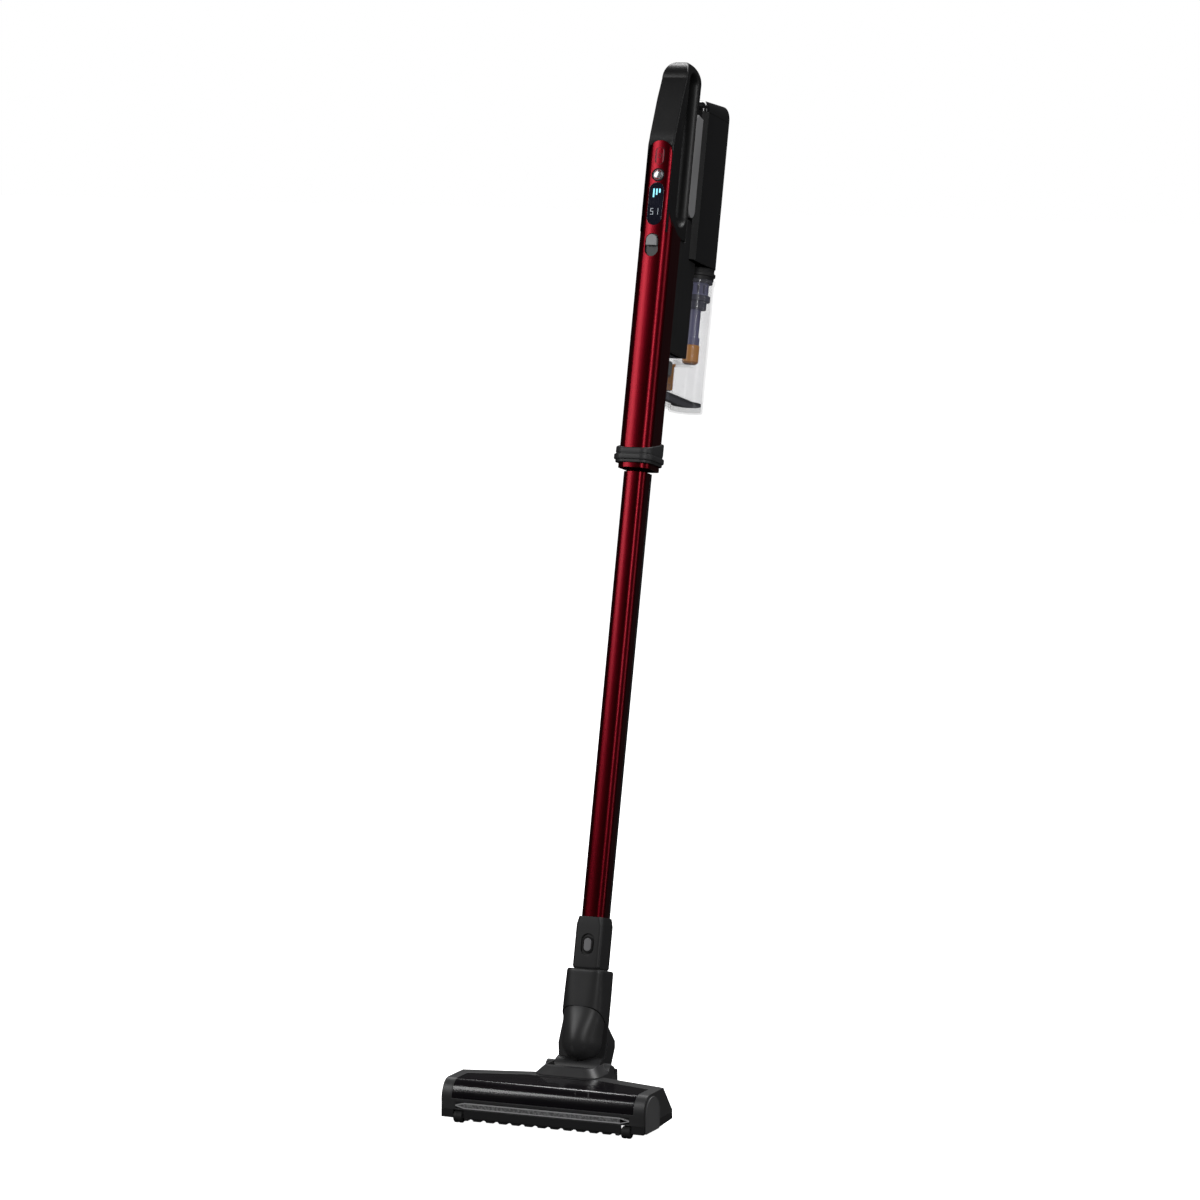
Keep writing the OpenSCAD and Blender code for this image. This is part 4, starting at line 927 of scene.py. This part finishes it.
# ---------------------------------------------------------------- main tube
# The same wine-red anodised aluminium as the pipe, but a larger rounded section. Its front runs
# on above as the arched control panel, whose back and sides are milled away in soft curves, and
# has an oval pocket for the slide switch.

tube_low, tube_high, panel_high = 592.0, 826.0, 918.0
panel_back, panel_half, flare_back, flare_out = -11.0, 13.5, 25.0, 20.0


def tube_ring(inset):
    """The tube's section: a rounded rectangle whose front bows."""
    w, d, r = tube_w - 2 * inset, tube_d - 2 * inset, tube_r - inset
    x, y = w / 2, d / 2
    ring = (arc(x - r, y - r, r, 0, 90, 14) + arc(-x + r, y - r, r, 90, 180, 14)
            + arc(-x + r, -y + r, r, 180, 270, 14) + across(x - r, -y)
            + arc(x - r, -y + r, r, 270, 360, 14))
    return crowned(ring, 45.0, -y)


tube = moulding("main_tube_body", [tube_ring(0), tube_ring(1.6)],
                tube_low, panel_high, 0.3, wand, wine_red.material, steps=2)
switch_w, switch_low, switch_high = 14.0, 802.0, 825.0
tube_face = -tube_d / 2
pocket = moulding("pocket_cutter", [stadium(switch_w, switch_low, switch_high)],
                  tube_face - 3, tube_face + 2.6, 0.2, lambda u, v, t: wand(u, t, v),
                  wine_red.material)
side_view = ([(panel_back, panel_high + 9)]
             + arc(panel_back + flare_back, tube_high + flare_back, flare_back, 180, 270, 24)
             + [(tube_d, tube_high), (tube_d, panel_high + 9)])
back_tool = moulding("back_cutter", [side_view], -tube_w, tube_w, 0.02,
                     lambda back, up, t: wand(t, back, up), wine_red.material)
right = ([(tube_w, tube_high + 6), (tube_w / 2 + 0.2, tube_high + 6)]
         + [(panel_half + (tube_w / 2 + 0.2 - panel_half) * (1 - math.sin(math.radians(t))) ** 1.6,
             tube_high + 6 + flare_out * math.sin(math.radians(t))) for t in range(9, 91, 9)])
front_view = (right + arc(0, panel_high - panel_half, panel_half, 0, 180, 40)
              + [(-x, up) for x, up in right[::-1]]
              + [(-tube_w, panel_high + 9), (tube_w, panel_high + 9)])
side_tool = moulding("side_cutter", [front_view], tube_face - 5, tube_d, 0.02,
                     lambda u, v, t: wand(u, t, v), wine_red.material)
for tool in (pocket, back_tool, side_tool):
    tube = cut(tube, tool)
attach(tube, "wand")
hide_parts("main_tube", "control_panel")


# ---------------------------------------------------------------- control panel
# The arched panel carries the power key, a lit mode button and the display, all let into it.
# The slide switch for the brush sits in a pocket under them.

key_red = plastic("key_red_plastic", (0.20, 0.006, 0.018), 0.3, 1500.0, 0.00001, Metallic=0.4)
key_skin = eased("power_button", 0.3, key_red.material)
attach(key_skin, "power_key")
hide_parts("power_button")

groove_dark = plastic("key_groove", (0.018, 0.001, 0.002), 0.5)
key_mid_up = 902.5
key_ring = moulding("power_key_ring", [
    [(x, y + key_mid_up) for x, y in arc(0, 0, 2.3, 0, 345, 32)],
    [(x, y + key_mid_up) for x, y in arc(0, 0, 1.85, 0, 345, 32)]],
    tube_face - 0.03, tube_face + 0.4, 0.02, lambda u, v, t: wand(u, t, v), groove_dark.material,
    steps=1)
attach(key_ring, "power_key")
key_line = moulding("power_key_line", [stadium(9.7, key_mid_up - 8.9, key_mid_up + 8.9),
                                       stadium(8.9, key_mid_up - 8.5, key_mid_up + 8.5)],
                    tube_face - 0.02, tube_face + 0.5, 0.02, lambda u, v, t: wand(u, t, v),
                    groove_dark.material, steps=1)
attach(key_line, "wand")

pearl = Finish("mode_button_pearl", Metallic=0.6, Coat_Weight=0.8, Coat_Roughness=0.05)
pearl_tone = pearl.noise(260.0, 3.0)
pearl.feed(Base_Color=pearl.mix(pearl_tone, (0.30, 0.31, 0.33), (0.55, 0.56, 0.58)),
           Roughness=0.16 + pearl_tone * 0.12)
pearl.bump(pearl_tone, 0.00001)
mode_up, mode_r = 883.5, 5.6
mode_profile = [(0.0, 0.0), (2.2, 0.05), (3.6, 0.3), (3.9, 0.7), (4.3, 0.75), (4.6, 0.2),
                (5.1, 0.05), (5.45, 0.3), (mode_r, 0.8), (mode_r, 2.8), (0.0, 2.8)]
mode_key = turned("mode_button_lens", mode_profile,
                  lambda u, v, h: wand(u, tube_face - 0.6 + h, mode_up + v), pearl.material, 48)
rim_dark = Finish("mode_rim", Coat_Weight=0.6, Coat_Roughness=0.05)
rim_tone = rim_dark.noise(300.0, 2.0)
rim_dark.feed(Base_Color=rim_dark.mix(rim_tone, (0.006, 0.006, 0.010), (0.014, 0.014, 0.018)),
              Roughness=0.2 + rim_tone * 0.1)
mode_rim = turned("mode_button_rim",
                  [(5.7, 0.0), (6.3, -0.15), (6.7, 0.0), (6.7, 0.9), (5.7, 0.9)],
                  lambda u, v, h: wand(u, tube_face - 0.05 + h, mode_up + v), rim_dark.material, 48)
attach(mode_rim, "wand")
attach(mode_key, "mode_key")
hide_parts("mode_button")

navy_glass = Finish("display_glass", Coat_Weight=1.0, Coat_Roughness=0.02,
                    Specular_IOR_Level=0.5)
navy_tone = navy_glass.noise(60.0, 3.0)
navy_glass.feed(Base_Color=navy_glass.mix(navy_tone, (0.004, 0.005, 0.016),
                                          (0.007, 0.009, 0.028)),
                Roughness=0.07 + navy_tone * 0.05)
display_w, display_low, display_high = 16.0, 833.0, 876.0
display = moulding("display_pane", [stadium(display_w - 0.1, display_low, display_high, 24)],
                   tube_face - 0.1, tube_face + 1.1, 0.35, lambda u, v, t: wand(u, t, v),
                   navy_glass.material)
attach(display, "wand")
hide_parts("display_window")


def lit(name, colour, power):
    made = Finish(name, Emission_Strength=power, Roughness=0.4)
    tone = made.noise(900.0, 1.0)
    dim = tuple(0.8 * c for c in colour)
    return made.feed(Base_Color=made.mix(tone, dim, colour),
                     Emission_Color=made.mix(tone, dim, colour))


cyan_glow = lit("cyan_diodes", (0.25, 0.75, 0.90), 1.3)
white_glow = lit("white_diodes", (0.60, 0.66, 0.72), 0.8)
glyph_face = tube_face - 0.16


def glyph(name, outline, finish):
    piece = moulding(name, [outline], glyph_face, glyph_face + 0.3, 0.05,
                     lambda u, v, t: wand(u, t, v), finish.material, steps=2)
    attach(piece, "wand")


bar_top, bar_w = 869.5, 1.6
for i, tall in enumerate((8.6, 6.2, 4.0)):
    x = -2.6 + 3.1 * i
    glyph(f"charge_bar_{i}", [(x - bar_w / 2, bar_top - tall), (x + bar_w / 2, bar_top - tall),
                              (x + bar_w / 2, bar_top), (x - bar_w / 2, bar_top)], cyan_glow)
digit_h, digit_w, stroke, digit_low = 6.4, 3.2, 0.6, 843.5
segments = {"a": (0, digit_h - stroke, digit_w, stroke),
            "g": (0, (digit_h - stroke) / 2, digit_w, stroke),
            "d": (0, 0, digit_w, stroke), "f": (0, digit_h / 2, stroke, digit_h / 2),
            "b": (digit_w - stroke, digit_h / 2, stroke, digit_h / 2),
            "e": (0, 0, stroke, digit_h / 2), "c": (digit_w - stroke, 0, stroke, digit_h / 2)}
for place, lit_segments in ((-4.6, "afgcd"), (0.6, "bc")):
    for key in lit_segments:
        x, y, w, h = segments[key]
        x, y = x + place + 0.12, y + digit_low + 0.12
        w, h = w - 0.24, h - 0.24
        glyph(f"digit_{key}_{'left' if place < 0 else 'right'}",
              [(x, y), (x + w, y), (x + w, y + h), (x, y + h)], white_glow)

plate_grey = plastic("switch_plate_plastic", (0.055, 0.057, 0.06), 0.38)
dress("switch_plate", plate_grey)
knob_grey = plastic("knob_plastic", (0.42, 0.42, 0.43), 0.34)
knob_skin = eased("slide_switch", 0.5, knob_grey.material)
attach(knob_skin, "switch_knob")
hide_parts("slide_switch")
board_green = plastic("circuit_board", (0.015, 0.10, 0.04), 0.4)
dress("control_board", board_green)


# ---------------------------------------------------------------- handle
# One large matte black moulding: the grip, its arch, the finger opening and the rear bar. Its
# edges are well rounded for the hand and it is finely textured. A grey panel is let into the rear
# bar's sides; its light tone is painted reflection of the light from the right.

grip_black = plastic("grip_plastic", (0.006, 0.006, 0.0065), 0.42, 1500.0, 0.00003)
grip_w = 28.0
arch_back, arch_up, arch_out = 18.0, 985.0, 19.0
bar_back, bar_seam = 36.0, 33.2


def grip_outline():
    """The side view's outline, in measures back and up."""
    lower = [(tube_face, tube_high), (bar_seam, tube_high), (bar_seam, 951),
             (bar_seam + 0.6, 955), (bar_back - 0.4, 958.5), (bar_back + 0.4, 962)]
    crown = arc(arch_back, arch_up, arch_out, -2, 182, 40)
    front = [(-8.5, 962), (-16.6, 929), (-17.8, 924.5), (-18.3, 921), (-18.9, 918),
             (tube_face, 914)]
    return lower + crown + front


def finger_outline():
    back_wall, front_low, front_high, r = 27.4, 4.2, 8.2, 11.6
    low = arc((front_low + back_wall) / 2, 852, r, 180, 360, 24)
    high = arc(arch_back, arch_up - 3.5, 9.4, 0, 180, 24)
    return low + high + [(front_high, 962), (front_low, 925)]


grip = moulding("handle_grip", [grip_outline(), finger_outline()], -grip_w / 2, grip_w / 2, 1.6,
                lambda back, up, t: wand(t, back, up), grip_black.material, steps=10,
                mouth=(4.0, 9.5))
seat = moulding("panel_seat", [stadium(27.2, 790, 918.2, 28)], tube_face - 3, -15.5, 0.2,
                lambda u, v, t: wand(u, t, v), grip_black.material)
grip = cut(grip, seat)
shoulder_up, shoulder_rise, shoulder_in = 984.0, 20.0, 10.5
for corner in grip.data.vertices:
    offset = corner.co - pivot
    up = (offset.z * math.cos(lean) + offset.y * math.sin(lean)) / mm
    if up > shoulder_up:
        fall = min(1.0, (up - shoulder_up) / shoulder_rise)
        corner.co.x *= 1 - shoulder_in * (1 - math.sqrt(1 - fall * fall)) / (grip_w / 2)
# Painted reflection: the cheek panel's grey is made light to stand in for the light from the right
# mirrored in its flat face.
cheek_painted_reflection = plastic("bar_cheek_painted_reflection", (0.27, 0.27, 0.275), 0.42, 1500.0, 0.00003)
cheek_back, cheek_low, cheek_high = 49.8, 852.0, 953.0
cheek_mid = (bar_seam + 0.3 + cheek_back) / 2
cheek = moulding("rear_bar_cheek", [
    arc(cheek_mid, cheek_low + 8.15, 8.15, 180, 360, 20)
    + [(cheek_back, cheek_high), (bar_seam + 4.0, cheek_high + 2.5),
       (bar_seam + 0.3, cheek_high - 3)]],
    -grip_w / 2, grip_w / 2, 0.7, lambda back, up, t: wand(t, back, up), cheek_painted_reflection.material)
for piece, name in ((grip, "black_matte"), (cheek, "dark_grey")):
    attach(piece, "wand")
    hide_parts("handle_frame")

spine_skin = eased("frame_spine", 1.0, cover_black.material)
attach(spine_skin, "wand")
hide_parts("frame_spine")


# ---------------------------------------------------------------- motor unit
# A tall capsule of polished black ABS behind the handle holds the suction motor and three
# lithium cells. It is two shells joined along a thin seam, with a cap on top.

piano_black = Finish("polished_black", Coat_Weight=0.6, Coat_Roughness=0.04)
polish = piano_black.noise(55.0, 4.0)
hairline = piano_black.noise(1.0, 3.0, (900, 900, 30), (lean, 0, 0)).step(0.62, 0.78)
piano_black.feed(Base_Color=piano_black.mix(polish, (0.006, 0.006, 0.007), (0.010, 0.010, 0.011)),
                 Roughness=0.16 + (polish - 0.5) * 0.06 + hairline * 0.05)
piano_black.bump(hairline, 0.000004)
unit_r, unit_back, unit_seam, unit_front = 17.0, 107.0, 56.0, 50.0
unit_low, unit_cap, unit_high = 812.0, 962.0, 970.0


def unit_arch(inset, front):
    r = unit_r - inset
    side = [(r - 0.9, front), (r - 0.4, front + 10), (r - 0.12, front + 24), (r, front + 40)]
    return side + arc(0, unit_back, r, 0, 180, 56) + [(-x, y) for x, y in side[::-1]]


rear_outline = unit_arch(0, unit_seam + 0.25) + unit_arch(2.0, unit_seam + 0.25)[::-1]
rear_shell = moulding("unit_rear_shell", [rear_outline], unit_low + 0.2, unit_cap - 0.15, 0.35,
                      wand, piano_black.material, steps=3)
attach(rear_shell, "wand")
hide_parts("housing_rear")

# Painted shade: the front shell's near-black colour stands in for the shade in the gap between the
# handle and the rear shell.
shadow_black = plastic("unit_front_painted_shade", (0.003, 0.003, 0.0035), 0.6)
front_skin = eased("housing_front", 0.5, shadow_black.material)
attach(front_skin, "wand")
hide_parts("housing_front")

cap_r = 8.0
cap_outline = (arc(0, unit_back, unit_r, 0, 180, 56)
               + arc(-unit_r + cap_r + 0.4, unit_front + cap_r, cap_r, 180, 270, 12)
               + arc(unit_r - cap_r - 0.4, unit_front + cap_r, cap_r, 270, 360, 12))
unit_top = moulding("unit_cap", [cap_outline], unit_cap, unit_high, 0.3, wand,
                    piano_black.material, top_edge=6.8, steps=8)
cap_lift = (3.0, 5.0)
for corner in unit_top.data.vertices:
    offset = corner.co - pivot
    up = (offset.z * math.cos(lean) + offset.y * math.sin(lean)) / mm
    back = (offset.y * math.cos(lean) - offset.z * math.sin(lean)) / mm
    along = min(1.0, (back - unit_front) / (unit_back - unit_front))
    raised = (up - unit_cap) / (unit_high - unit_cap) * (cap_lift[0] + cap_lift[1] * along)
    corner.co += wand(0, 0, raised) - wand(0, 0, 0)
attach(unit_top, "wand")
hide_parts("housing_cap")

catch_skin = eased("case_latch", 0.3, cover_black.material)
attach(catch_skin, "case_button")
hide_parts("case_latch")
cell_blue = plastic("cell_sleeve", (0.02, 0.10, 0.30), 0.3)
dress("battery_cells", cell_blue)
dress("motor_can", steel)
dress("suction_fan", core_grey)


# ---------------------------------------------------------------- dust case
# A clear polycarbonate cup, faintly violet, with the cyclone inside: a violet basket and core,
# an orange cup and flap, and a grey inlet duct. A black rubber seal closes it at the top and a
# clear lid, hinged at the front, drops open below.

def clear_plastic(name, tint, veil):
    """Thin clear plastic: see-through, with a polished face and a faint veil of haze."""
    made = Finish(name, Coat_Weight=0.6, Coat_Roughness=0.03)
    haze = made.noise(35.0, 4.0)
    swirl = made.noise(260.0, 2.0).step(0.62, 0.74)
    pale = tuple(min(1.0, c * 1.08) for c in tint)
    return made.feed(Base_Color=made.mix(haze, tint, pale), Roughness=0.06 + haze * 0.05,
                     Alpha=veil + haze * 0.05 + swirl * 0.01)


violet_clear = clear_plastic("clear_case", (0.36, 0.36, 0.43), 0.095)
lid_clear = clear_plastic("clear_lid", (0.36, 0.36, 0.41), 0.14)
case_skin = eased("dust_case", 0.4, violet_clear.material)
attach(case_skin, "wand")
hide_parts("dust_case")
lid_skin = eased("case_lid", 0.4, lid_clear.material)
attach(lid_skin, "lid")
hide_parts("case_lid")

seal_black = plastic("seal_rubber", (0.012, 0.012, 0.013), 0.5)
violet = plastic("violet_plastic", (0.16, 0.16, 0.30), 0.35)
skirt_violet = plastic("skirt_plastic", (0.035, 0.035, 0.060), 0.35)
orange = plastic("orange_plastic", (0.85, 0.33, 0.03), 0.33)
duct_grey = plastic("duct_plastic", (0.11, 0.13, 0.115), 0.4)
filter_skin = eased("filter_cap", 0.4, seal_black.material)
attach(filter_skin, "wand")
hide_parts("filter_cap")
basket_skin = eased("filter_basket", 0.15, violet.material, steps=2)
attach(basket_skin, "wand")
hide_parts("filter_basket")
core_skin = eased("cyclone_core", 0.4, violet.material)
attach(core_skin, "wand")
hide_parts("cyclone_core")
skirt_ring = turned("cyclone_skirt", [(6.0, 770.8), (11.2, 770.8), (11.3, 778.5), (14.4, 778.8),
                                      (14.4, 784.2), (6.0, 784.2)],
                    lambda u, v, h: wand(u, unit_back + v, h), skirt_violet.material, 56)
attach(skirt_ring, "wand")
base_half, base_r = 11.2, 15.2
base_plate = moulding("case_base_seal", [
    [(base_half, 24.5), (base_half, 96.7)] + arc(0, unit_back, base_r, -42.5, 222.5, 40)
    + [(-base_half, 96.7), (-base_half, 24.5)]], 672.6, 675.4, 0.4, wand, seal_black.material)
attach(base_plate, "lid")
cup_skin = eased("cyclone_cup", 0.4, orange.material)
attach(cup_skin, "wand")
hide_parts("cyclone_cup")
duct_skin = eased("inlet_duct", 0.5, duct_grey.material)
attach(duct_skin, "wand")
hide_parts("inlet_duct")
flap_skin = eased("inlet_flap", 0.3, orange.material)
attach(flap_skin, "flap")
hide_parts("inlet_flap")
